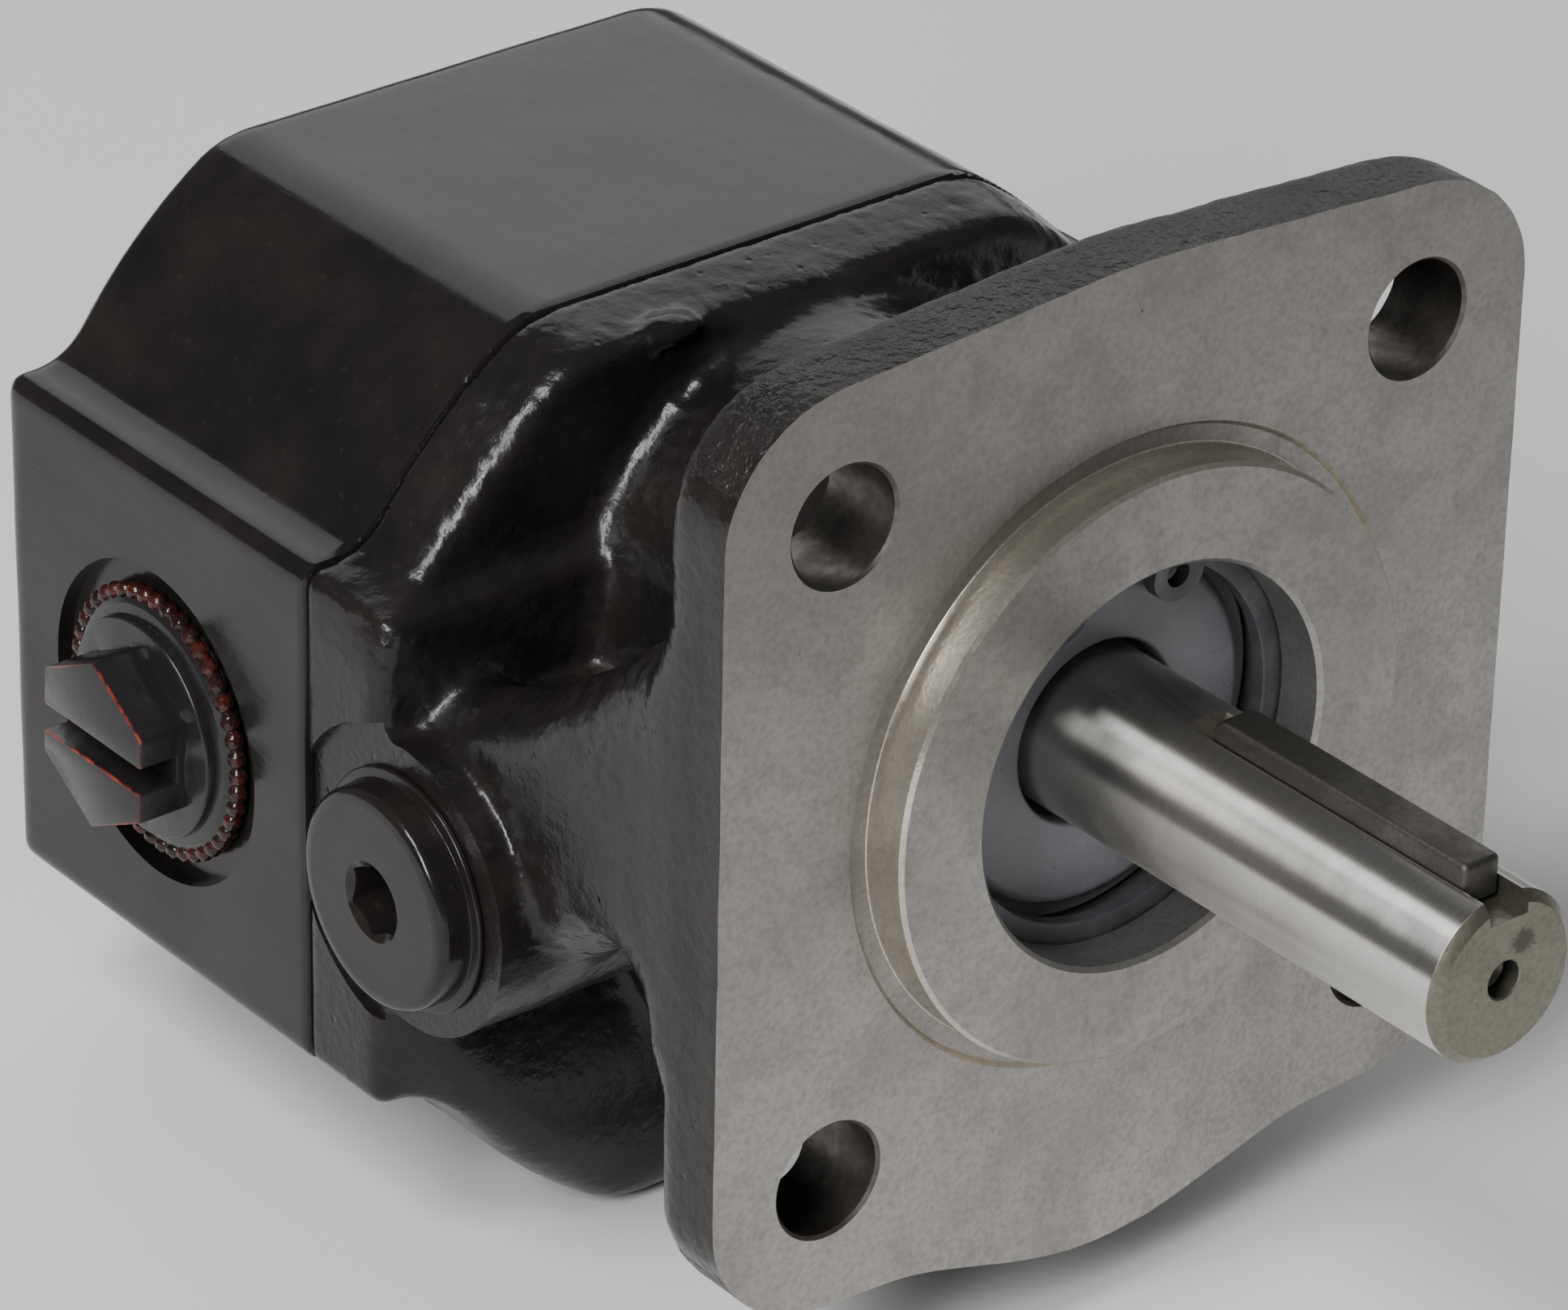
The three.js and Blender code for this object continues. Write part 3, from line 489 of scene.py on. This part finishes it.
def polygon_distance(corners, u, v):
    """Signed distance from a polygon in the (u, v) plane, negative inside."""
    u, v = np.broadcast_arrays(u, v)
    nearest = np.full(u.shape, 1e9, np.float32)
    inside = np.zeros(u.shape, bool)
    for (u0, v0), (u1, v1) in zip(corners, corners[1:] + corners[:1]):
        eu, ev = u1 - u0, v1 - v0
        t = np.clip(((u - u0) * eu + (v - v0) * ev) / (eu * eu + ev * ev), 0, 1)
        nearest = np.minimum(nearest, np.hypot(u - u0 - t * eu, v - v0 - t * ev))
        if v0 != v1:
            inside ^= ((v0 > v) != (v1 > v)) & (u < eu * (v - v0) / ev + u0)
    return np.where(inside, -nearest, nearest)


def round_body(x, z):
    """The round body with flats above and below, in the XZ plane."""
    dz = z - MID_Z
    body = blend_max(np.hypot(x, dz) - SECTION["radius"], np.abs(dz) - SECTION["half_height"], 1.3)
    return np.maximum(body, np.abs(x) - 36)


def side_pads(x, z):
    return rounded_box(x, z - MID_Z, SECTION["pad_x"], SECTION["pad_half"], 1.5)


def section(x, z):
    return blend_min(round_body(x, z), side_pads(x, z), 2.6)


def flange_outline(x, z):
    """A square with round corners, whose top and bottom edges rise straight to a soft peak."""
    square = rounded_box(x, z, FLANGE_HALF, FLANGE_HALF, FLANGE["corner"])
    roof = np.abs(z) - FLANGE["peak"] + FLANGE["slope"] * np.hypot(x, 2)
    return np.minimum(square, np.maximum(roof, np.abs(x) - FLANGE["hole_offset"] - 0.6))


class Field:
    """Distances on a grid of cells, between two corners in the pump's millimetres."""

    def __init__(self, low, high):
        self.low = np.array(low, float)
        axes = [np.arange(a, b + VOXEL, VOXEL, dtype=np.float32) for a, b in zip(low, high)]
        self.shape = tuple(len(axis) for axis in axes)
        self.x, self.y, self.z = np.meshgrid(*axes, indexing="ij", sparse=True)

    def grain(self, size, seed):
        """Smooth random relief of one size of bump, with a standard deviation of 1."""
        noise = np.random.default_rng(seed).standard_normal(self.shape, dtype=np.float32)
        spectrum = np.fft.rfftn(noise)
        cycles = [np.fft.fftfreq(count, VOXEL) for count in self.shape[:2]]
        cycles.append(np.fft.rfftfreq(self.shape[2], VOXEL))
        fx, fy, fz = np.meshgrid(*cycles, indexing="ij", sparse=True)
        pitch = np.sqrt(fx * fx + fy * fy + fz * fz) * size
        spectrum *= np.exp(-0.5 * ((pitch - 1) / 0.4) ** 2)
        noise = np.fft.irfftn(spectrum, s=self.shape, axes=(0, 1, 2)).astype(np.float32)
        return noise / noise.std()

    def mesh(self, distance):
        grid = openvdb.FloatGrid(background=3.0)
        grid.copyFromArray(np.ascontiguousarray(distance, dtype=np.float32))
        points, quads = grid.convertToQuads(isovalue=0)
        points = points * VOXEL + self.low
        corners = points[quads]
        volume = np.einsum("ij,ij->i", corners[:, 0], np.cross(corners[:, 1], corners[:, 2])).sum()
        if volume < 0:
            quads = quads[:, ::-1]
        return points, quads


# ------------------------------------------------------------------ castings

def seam_fade(distance):
    """The castings' relief dies away toward the machined seam."""
    return 0.15 + 0.85 * smooth_step(distance / 1.6)


def cover_field():
    """The front cover as cast: flange, neck, webs, rear rim and the valve's boss."""
    field = Field((-41, -5, -48.5), (41, 44, 39.5))
    x, y, z = field.x, field.y, field.z

    plate = blend_max(flange_outline(x, z), y - FLANGE["thickness"], 3.0)
    plate = np.maximum(plate, -3.9 - y)
    neck = np.hypot(x, np.maximum(z, 0) + np.minimum(z + CENTRE_DISTANCE - 4, 0)) - 19.8
    neck = np.maximum(neck, y - 38)
    body = blend_min(plate, neck, 6)

    # The webs' edges, as (y, z).
    lower_edge = [
        (38, -24), (27, -21.5), (21, -16), (15.2, -11.2), (12.4, -11.2), (10.2, -13), (8.8, -16.5),
        (3, -17),
    ]
    lip = [(3, 19), (8, 16.4), (10.5, 14.8), (13, 12.9), (17, 9.5), (23, 5.3), (31, 1.6), (38, 0.8)]
    floor_edge = [(3, 9), (9, 8), (15, 4.5), (22, 0), (30, -4), (38, -5)]
    plate_web = polygon_distance(lip + lower_edge, y, z)
    inner_web = polygon_distance(floor_edge + lower_edge, y, z)
    outer = FLANGE_HALF + 0.1
    for side in (-1, 1):
        wall = blend_max(plate_web, np.abs(x - side * (outer - 4.6)) - 4.6, 6.6)
        inner = blend_max(inner_web, np.abs(x - side * 20) - 11, 2.5)
        body = blend_min(body, blend_min(wall, inner, 2.5), 2.6)
    body = blend_max(body, np.abs(x) - outer, 0.7)

    top = smooth_step((z - 6) / 8)
    inset = 1.5 * top * np.clip((SEAM["cover_y"] - y) / 8, 0, 1.2)
    front_y = 29.4 + 6.4 * smooth_step((z + 40) / 34)
    rim = blend_max(round_body(x, z) + inset, front_y - y, 4.6 - 2.8 * smooth_step((z + 26) / 24))
    worn_corner = 1.6 * smooth_step((z - 2) / 8) * np.clip((SEAM["cover_y"] - y) / 6, 0, 1.3)
    pads = blend_max(side_pads(x, z) + worn_corner, 33.7 - y, 2.0)
    body = blend_min(body, blend_min(rim, pads, 3.0), 2.2)

    radial = np.hypot(y - VALVE["y"], z - VALVE["z"])
    boss = np.maximum(radial - VALVE["boss_radius"], x + 14)
    boss = np.maximum(boss, VALVE["face_x"] - 0.9 - x)
    body = blend_min(body, boss, 1.2)
    limit = np.minimum(section(x, z), y - 28.5)
    body = blend_max(body, limit, 0.5)
    body = blend_max(body, y - SEAM["cover_y"], 0.5)

    drip = np.sqrt(((x + 12) / 2.9) ** 2 + ((y - 36.6) / 1.7) ** 2 + ((z - 20.9) / 1.2) ** 2) - 1
    body = blend_min(body, drip * 1.2, 0.6)

    # How rough the sand left each region.
    smooth_sides = 0.78 * smooth_step((np.abs(x) - 33.5) / 2) * smooth_step((y - 6) / 3)
    smooth_sides = smooth_sides * smooth_step((5 - z) / 4)
    near_boss = smooth_step((radial - 10.2) / 0.8) * smooth_step((15 - radial) / 2) * (x < -30) * (y < 36)
    belly = 0.7 * smooth_step((-z - 27) / 5) * smooth_step((y - 22) / 5)
    under_boss = 0.8 * smooth_step((-z - 13) / 3) * smooth_step((22 - radial) / 4) * (x < -26)
    edge = 0.5 * smooth_step((8.5 - y) / 2)
    rough = 1 - np.maximum(np.maximum(smooth_sides, belly), np.maximum(under_boss, edge))
    rough = np.maximum(rough, 1.1 * near_boss * smooth_step((z + 17) / 3))
    sand = 0.016 * field.grain(2.4, 2) + 0.03 * field.grain(1.3, 3)
    relief = 0.018 * field.grain(9, 1) + rough * sand
    return field, body + relief * seam_fade(SEAM["cover_y"] - y)


def cover_tools():
    """What machining takes off the front cover, each with the number of the look that it leaves."""
    face, bore, hole, paint = 1, 2, 3, 0
    radius, height = PILOT["radius"], PILOT["height"]
    floor_y = PILOT["groove_depth"]
    facing = turn(soften([
        (0, -9), (70, -9), (70, 0), (PILOT["groove_radius"] + 0.25, 0), (PILOT["groove_radius"], 0.25),
        (PILOT["groove_radius"] - 0.1, floor_y, 0.1), (radius, floor_y, 0.12), (radius, -height + 0.3),
        (radius - 0.3, -height), (0, -height),
    ], 3), 256)
    seal, groove = SEAL_BORE, RING_GROOVE
    bores = turn([
        (0, -9), (seal["radius"] + 0.35, -9), (seal["radius"] + 0.35, -height),
        (seal["radius"], 0.35 - height),
        (seal["radius"], groove["front_y"]), (groove["radius"], groove["front_y"]),
        (groove["radius"], groove["rear_y"]), (seal["radius"], groove["rear_y"]),
        (seal["radius"], seal["end_y"]), (BUSH_HOLE, seal["end_y"]), (BUSH_HOLE, 45), (0, 45),
    ], 192)
    idler_bore = rod(BUSH_HOLE, 20, 45, centre=(0, -CENTRE_DISTANCE))
    tools = [(*facing, face), (*bores, bore), (*idler_bore, bore)]
    radius, chamfer = FLANGE["hole_radius"], 0.25
    profile = [
        (0, -9), (radius + chamfer, -9), (radius + chamfer, 0), (radius, chamfer), (radius, 14), (0, 14),
    ]
    for centre in FLANGE_HOLES:
        tools.append((*turn(profile, 96, "y", centre), hole))
    for centre in BOLTS:
        tools.append((*rod(BOLT["hole"], BOLT["tip_y"] - 0.3, 45, centre=centre, segments=48), bore))
    for centre in DOWELS:
        tools.append((*rod(2.3, 36.7, 45, centre=centre, segments=32), bore))
    middle = (VALVE["y"], VALVE["z"])
    face_x = VALVE["face_x"]
    tools.append((*rod(VALVE["spotface"] - 0.2, -46, face_x, "x", middle, 128), paint))
    tools.append((*rod(VALVE["bore"], -46, -14, "x", middle, 64), bore))
    tools.append((*rod(2.2, -15, -9.5, "x", middle, 32), bore))
    tools.append((*rod(1.8, VALVE["y"] - 1, 45, centre=(-10.5, VALVE["z"]), segments=32), bore))
    return tools


COVER_LOOKS = ("enamel_cast", "iron_face", "iron_bore", "iron_hole", "iron_turned_painted_highlight", "enamel_sanded")


def front_cover():
    cast, faced, turned, sanded = 0, 1, 4, 5
    field, distance = cover_field()
    points, quads = field.mesh(distance)
    made = mesh_object("front_cover_casting", points, quads, COVER_LOOKS, cast)
    carve(made, cover_tools())
    edge_y = to_metres((0, 7.4, 0))[1]
    side_x = 34.6 * MM
    for face in made.data.polygons:
        on_edge = face.center.y < edge_y and abs(face.center.x) < side_x
        # Facing-cut faces that are not flat fronts take the turned look, whose brighter colour is a painted
        # highlight.
        if face.material_index == faced and abs(face.normal.y) < 0.97:
            face.material_index = turned
        elif face.material_index == cast and on_edge:
            face.material_index = sanded
    finished(made, "housing", "front_cover")


def housing_field():
    field = Field((-41, 40.5, -48.5), (41, 81.5, 24.5))
    body = section(field.x, field.z)
    body = blend_max(body, SEAM["housing_y"] - field.y, 0.45)
    body = blend_max(body, field.y - SEAM["rear_y"], 2.0)
    relief = 0.011 * field.grain(14, 11) + 0.002 * field.grain(4, 12)
    return field, body + relief * seam_fade(field.y - SEAM["housing_y"])


def port_tools(port, paint, bore):
    side = port["side"]
    middle = (PORT["y"], PORT["z"])
    face_x = side * (SECTION["pad_x"] - PORT["spotface_depth"])
    end_x = SECTION["pad_x"] - PORT["depth"]
    return [
        (*rod(port["spotface"], face_x, side * 46, "x", middle, 128), paint),
        (*rod(port["thread"], side * end_x, side * 46, "x", middle, 64), bore),
        (*rod(port["passage"], side * 6, side * (end_x + 1), "x", middle, 48), bore),
    ]


def gear_housing():
    paint, bore = 0, 1
    field, distance = housing_field()
    points, quads = field.mesh(distance)
    made = mesh_object("gear_housing_casting", points, quads, ("enamel_smooth", "iron_bore"), 0)
    tools = []
    for z in AXES_Z:
        tools.append((*rod(14.5, 39, 68.6, centre=(0, z), segments=128), bore))
        tools.append((*rod(BUSH_HOLE, 60, 75.9, centre=(0, z), segments=64), bore))
    for centre in BOLTS:
        tools.append((*rod(BOLT["hole"], 39, 75, centre=centre, segments=48), bore))
        tools.append((*rod(COUNTERBORE["radius"], COUNTERBORE["y"], 84, centre=centre, segments=64), paint))
    for centre in DOWELS:
        tools.append((*rod(2.3, 39, 47.7, centre=centre, segments=32), bore))
    tools += port_tools(OUTLET, paint, bore) + port_tools(INLET, paint, bore)
    carve(made, tools)
    finished(made, "housing", "gear_housing")


front_cover()
gear_housing()

# ------------------------------------------------------------------ shaft, key and seal


def drive_shaft():
    radius, front, rear, chamfer = (SHAFT[name] for name in ("radius", "front_y", "rear_y", "chamfer"))
    profile = soften([
        (0, front + 6), (0.9, front + 5.2), (0.9, front + 2.2), (1.4, front + 1.6), (1.4, front + 0.12),
        (1.52, front), (radius - chamfer, front, 0.1), (radius, front + chamfer, 0.12),
        (radius, rear - 1), (radius - 1, rear), (0, rear),
    ], 3)
    points, faces = turn(profile, 192)
    ground, end, dark = 0, 1, 2
    from_axis = np.hypot(points[:, 0], points[:, 2])
    face_looks = []
    for face in faces:
        at_end = max(points[face, 1]) < front + chamfer + 0.03 or max(from_axis[face]) < 2
        face_looks.append(end if at_end else ground)
    looks = ("ground_steel", "shaft_end", "dark_steel")
    made = mesh_object("drive_shaft_ground", points, faces, looks, face_looks)
    clearance = 0.12
    half = KEY["width"] / 2 + clearance
    floor_z = KEY["bottom_z"] - clearance
    key_end, runout_end = KEY["rear_y"] + 0.5, KEY["rear_y"] + 3.2
    slot = prism(soften([
        (front - 2, floor_z), (key_end, floor_z, 2.5), (runout_end, 7.2), (runout_end, 9), (front - 2, 9),
    ], 6), -half, half, "x")
    gear_seat = block(-1.7, 1.7, 52.2, 64.8, 4.3, 8)
    carve(made, [(*slot, end), (*gear_seat, dark)])
    finished(made, "drive", "drive_shaft", crease=28)


def shaft_key():
    front, rear, bottom, top = (KEY[name] for name in ("front_y", "rear_y", "bottom_z", "top_z"))
    outline = soften([(front, bottom), (rear, bottom), (rear, top, 1.3), (front, top, 0.5)], 4)
    half = KEY["width"] / 2
    made = mesh_object("shaft_key_square", *prism(outline, -half, half, "x"), ("key_steel",))
    rounded_edges(made, 0.38)
    finished(made, "drive", "shaft_key")


def shaft_seal():
    outer = SEAL_BORE["radius"] - 0.3
    profile = soften([
        (7.0, 2.9, 0.3), (12.9, 2.9, 0.8), (13.6, 4.0, 0.3), (outer - 0.4, 4.0, 0.2), (outer, 4.4),
        (outer, 9.9), (12.6, 9.9), (12.6, 5), (9.6, 5), (9.2, 6.4), (7.9, 8.6), (6.65, 7.2), (7.2, 5.4),
        (7.0, 4.4),
    ], 4)
    made = mesh_object("shaft_seal_lip", *turn(profile, 160), ("seal_rubber",))
    finished(made, "housing", "shaft_seal")


def retaining_ring():
    """An internal ring, open at the top between two lugs with plier holes."""
    inner, outer = 13.7, 15.9
    front, rear = 0.9, 2.1
    half_gap = math.radians(14)
    lug_angle = math.radians(23.7)
    ring = turn(soften([(inner, front, 0.12), (outer, front, 0.08), (outer, rear), (inner, rear)], 3), 160)
    made = mesh_object("retaining_ring_lugged", *ring, ("ring_steel",))
    lugs, holes = [], []
    for side in (-1, 1):
        across, up = side * math.sin(lug_angle), math.cos(lug_angle)
        lugs.append((*rod(2.3, front, rear, centre=(12.9 * across, 12.9 * up), segments=64), 0))
        holes.append((*rod(1.0, front - 1, rear + 1, centre=(12.7 * across, 12.7 * up), segments=40), 0))
    carve(made, lugs, "UNION")
    reach_x, reach_z = 24 * math.sin(half_gap), 24 * math.cos(half_gap)
    wedge = prism([(0, 0), (reach_x, reach_z), (-reach_x, reach_z)], 0, 3, "y")
    outside = turn([(outer, 0), (outer + 8, 0), (outer + 8, 3), (outer, 3)], 160)
    carve(made, [(*wedge, 0), (*outside, 0)] + holes)
    finished(made, "housing", "retaining_ring")


drive_shaft()
shaft_key()
shaft_seal()
retaining_ring()

# ------------------------------------------------------------------ plugs


def valve_plug():
    middle = (VALVE["y"], VALVE["z"])
    face_x = VALVE["face_x"]
    out_x = face_x - 3.1
    profile = soften([
        (0, -29.6), (5.4, -29.6), (6.05, -30.2), (6.05, -36), (5.2, -36.4), (5.2, face_x - 0.1),
        (9.1, face_x - 0.1, 0.1), (9.1, face_x - 0.5, 0.16), (8.35, face_x - 0.6, 0.1),
        (8.25, out_x + 0.1, 0.7),
        (7.2, out_x, 0.6), (0, out_x),
    ], 5)
    made = mesh_object("valve_plug_socket", *turn(profile, 144, "x", middle), ("enamel_smooth",))
    before, chamfer_end, socket_end = out_x - 2, out_x + 0.45, out_x + 4.2
    cone = [(0, before), (3.05, before), (3.05, out_x), (2.5, chamfer_end), (0, chamfer_end)]
    mouth = turn(cone, 64, "x", middle)
    hexagon = soften([(*corner, 0.4) for corner in polygon(2.85, 6, 95, middle)], 3)
    socket = prism(hexagon, before, socket_end, "x")
    carve(made, [(*mouth, 0), (*socket, 0)])
    finished(made, "housing", "valve_plug")


PLUG_LOOKS = ("plug_painted", "plug_edges", "plug_beads")


def port_plug(name, port):
    """A shipping plug: threaded stem, beaded rim, stepped washer and a hexagon with a slot."""
    side = port["side"]
    middle = (PORT["y"], PORT["z"])
    seat = SECTION["pad_x"] - PORT["spotface_depth"] + 0.2
    top = 44.6
    thread = port["thread"] - 0.35
    rim, hexagon = port["rim"], port["hexagon"]
    profile = soften([
        (0, seat - 9), (thread - 1, seat - 9), (thread, seat - 8), (thread, seat - 2),
        (thread - 1, seat - 1.8), (thread - 1, seat), (rim - 0.7, seat), (rim - 0.7, seat + 1.0),
        (rim - 1.5, seat + 1.45, 0.3), (hexagon + 1.5, seat + 1.6), (hexagon + 1.4, seat + 2.4, 0.2),
        (hexagon - 0.5, seat + 2.5), (hexagon - 1.5, seat + 3), (0, seat + 3),
    ], 3)
    points, faces = turn([(r, side * d) for r, d in profile], 144, "x", middle)
    made = mesh_object(name, points, faces, PLUG_LOOKS, 0)
    ends = sorted((side * (seat + 2), side * top))
    head = mesh_object("head", *prism(polygon(hexagon, 6, 33, middle), *ends, "x"), PLUG_LOOKS, 0)
    slot_ends = sorted((side * (top - 3.2), side * (top + 3)))
    reach = hexagon + 2
    slot = block(*slot_ends, PORT["y"] - reach, PORT["y"] + reach, PORT["z"] - 1.4, PORT["z"] + 0.75)
    carve(head, [(*slot, 0)])
    rounded_edges(head, 0.16, 2, 30)
    # The rounded outer edges, where the paint is thin, are narrow faces near the top.
    for face in head.data.polygons:
        narrow = face.area < 2.5 * MM ** 2
        face.material_index = int(narrow and abs(face.center.x) > (top - 0.25) * MM)
    combine(made, [head, bead_ring(port, seat)], "UNION")
    finished(made, "housing", name.replace("_moulded", ""))


def bead_ring(port, seat):
    """The rim's row of beads, one grid of points wound round it."""
    bead, pitch = 0.72, 1.5
    per_bead, across = 10, 10
    total = round(2 * math.pi * port["rim"] / pitch) * per_bead
    points, faces = [], []
    for i in range(total):
        t = 2 * ((i % per_bead) + 0.5) / per_bead - 1
        swell = math.sqrt(1 - 0.82 * t * t)
        angle = 2 * math.pi * i / total
        this_ring, next_ring = i * across, ((i + 1) % total) * across
        for j in range(across):
            turn_angle = 2 * math.pi * j / across
            radius = port["rim"] - bead + bead * swell * math.cos(turn_angle)
            x = port["side"] * (seat + 0.78 + bead * swell * math.sin(turn_angle))
            points.append((x, PORT["y"] + radius * math.cos(angle), PORT["z"] + radius * math.sin(angle)))
            k = (j + 1) % across
            faces.append([this_ring + j, this_ring + k, next_ring + k, next_ring + j])
    points = np.array(points)
    return mesh_object("beads", points, turned_out(points, faces), PLUG_LOOKS, 2)


def relief_spring():
    """The wound spring behind the relief poppet, wound at one fixed length."""
    turns, wire, coil, start, end = 5, 0.55, 3.6, -29.2, -21.9
    steps, around = 40 * turns, 12
    middle = (VALVE["y"], VALVE["z"])
    points = []
    for i in range(steps + 1):
        angle = 2 * math.pi * turns * i / steps
        along = start + wire + (end - start - 2 * wire) * i / steps
        for j in range(around):
            section_angle = 2 * math.pi * j / around
            radius = coil + wire * math.cos(section_angle)
            y, z = middle[0] + radius * math.cos(angle), middle[1] + radius * math.sin(angle)
            points.append((along + wire * math.sin(section_angle), y, z))
    faces = [list(range(around)), list(range(len(points) - 1, len(points) - around - 1, -1))]
    for i in range(0, steps * around, around):
        for j in range(around):
            k = (j + 1) % around
            faces.append([i + j, i + around + j, i + around + k, i + k])
    points = np.array(points)
    made = mesh_object("relief_spring_wound", points, turned_out(points, faces), ("spring_steel",))
    finished(made, "housing", "relief_spring")
    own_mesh(made)


valve_plug()
relief_spring()
port_plug("outlet_plug_moulded", OUTLET)
port_plug("inlet_plug_moulded", INLET)

# ------------------------------------------------------------------ carried-over CAD nodes

CARRIED = {
    "dark_steel": ["drive_gear_key", "driven_gear_key"] + [f"cover_bolt_{i}" for i in (1, 2, 3, 4)],
    "spring_steel": ["seal_garter_spring"] + [f"bolt_washer_{i}" for i in (1, 2, 3, 4)],
    "ground_steel": [
        "idler_shaft", "drive_gear", "driven_gear", "dowel_pin_1", "dowel_pin_2", "relief_poppet",
        "relief_seat",
    ],
    "bush_bronze": ["drive_front_bush", "drive_rear_bush", "idler_front_bush", "idler_rear_bush"],
    "plate_bronze": ["front_wear_block", "rear_wear_plate"],
    "black_rubber": ["body_seal", "valve_plug_seal", "outlet_plug_seal", "inlet_plug_seal"],
}
for look, names in CARRIED.items():
    for name in names:
        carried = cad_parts[name]
        carried.data.materials.clear()
        carried.data.materials.append(LOOKS[look])

# ------------------------------------------------------------------ floor, lights and camera


def floor():
    finish = Finish("floor_paper")
    tone = finish.noise(60, 3)
    colour = finish.mix(finish.ramp(tone, 0.3, 0.7), (0.86, 0.86, 0.855), (0.88, 0.88, 0.875))
    rough = finish.ramp(tone, 0.3, 0.7, 0.85, 0.9)
    material = finish.done(colour, rough)
    size = 3.0
    mesh = bpy.data.meshes.new("floor")
    corners = [(-size, -size, 0), (size, -size, 0), (size, size, 0), (-size, size, 0)]
    mesh.from_pydata(corners, [], [(0, 1, 2, 3)])
    mesh.materials.append(material)
    made = bpy.data.objects.new("floor", mesh)
    bpy.context.scene.collection.objects.link(made)


def soft_light(name, direction, distance, width, height, power):
    """A soft box that faces the pump from a direction, at a distance in metres."""
    data = bpy.data.lights.new(name, "AREA")
    data.shape = "RECTANGLE"
    data.size = width
    data.size_y = height
    data.energy = power
    made = bpy.data.objects.new(name, data)
    bpy.context.scene.collection.objects.link(made)
    aim = Vector((0, 0, 0.04))
    away = Vector(direction).normalized()
    made.location = aim + away * distance
    made.rotation_euler = away.to_track_quat("Z", "Y").to_euler()


def studio():
    world = bpy.data.worlds.new("studio")
    bpy.context.scene.world = world
    world.use_nodes = True
    world.node_tree.nodes["Background"].inputs["Color"].default_value = (1, 1, 1, 1)
    world.node_tree.nodes["Background"].inputs["Strength"].default_value = 0.14
    soft_light("key_soft_box", (-0.54, -0.12, 0.80), 1.1, 0.3, 0.3, 6.5)
    soft_light("left_box", (-0.75, -0.373, 0.546), 1.0, 0.2, 0.4, 8)
    soft_light("right_card", (0.56, 0.60, 0.54), 1.2, 1.4, 0.9, 4.6)


CAMERA_AT = (-310.67, -342.09, 264.14)
CAMERA_RIGHT = Vector((0.78030, -0.62512, 0.01946))
CAMERA_DOWN = Vector((-0.29131, -0.39081, -0.87316))
CAMERA_LENS = 177.14  # on a sensor 36 mm wide


def camera():
    data = bpy.data.cameras.new("camera")
    data.lens = CAMERA_LENS
    data.sensor_width = 36
    data.clip_start = 0.01
    made = bpy.data.objects.new("camera", data)
    bpy.context.scene.collection.objects.link(made)
    right = CAMERA_RIGHT.normalized()
    up = -(CAMERA_DOWN - CAMERA_DOWN.dot(right) * right).normalized()
    turned = Matrix((right, up, right.cross(up))).transposed()
    made.matrix_world = Matrix.Translation(Vector(to_metres(CAMERA_AT))) @ turned.to_4x4()
    bpy.context.scene.camera = made


floor()
studio()
camera()
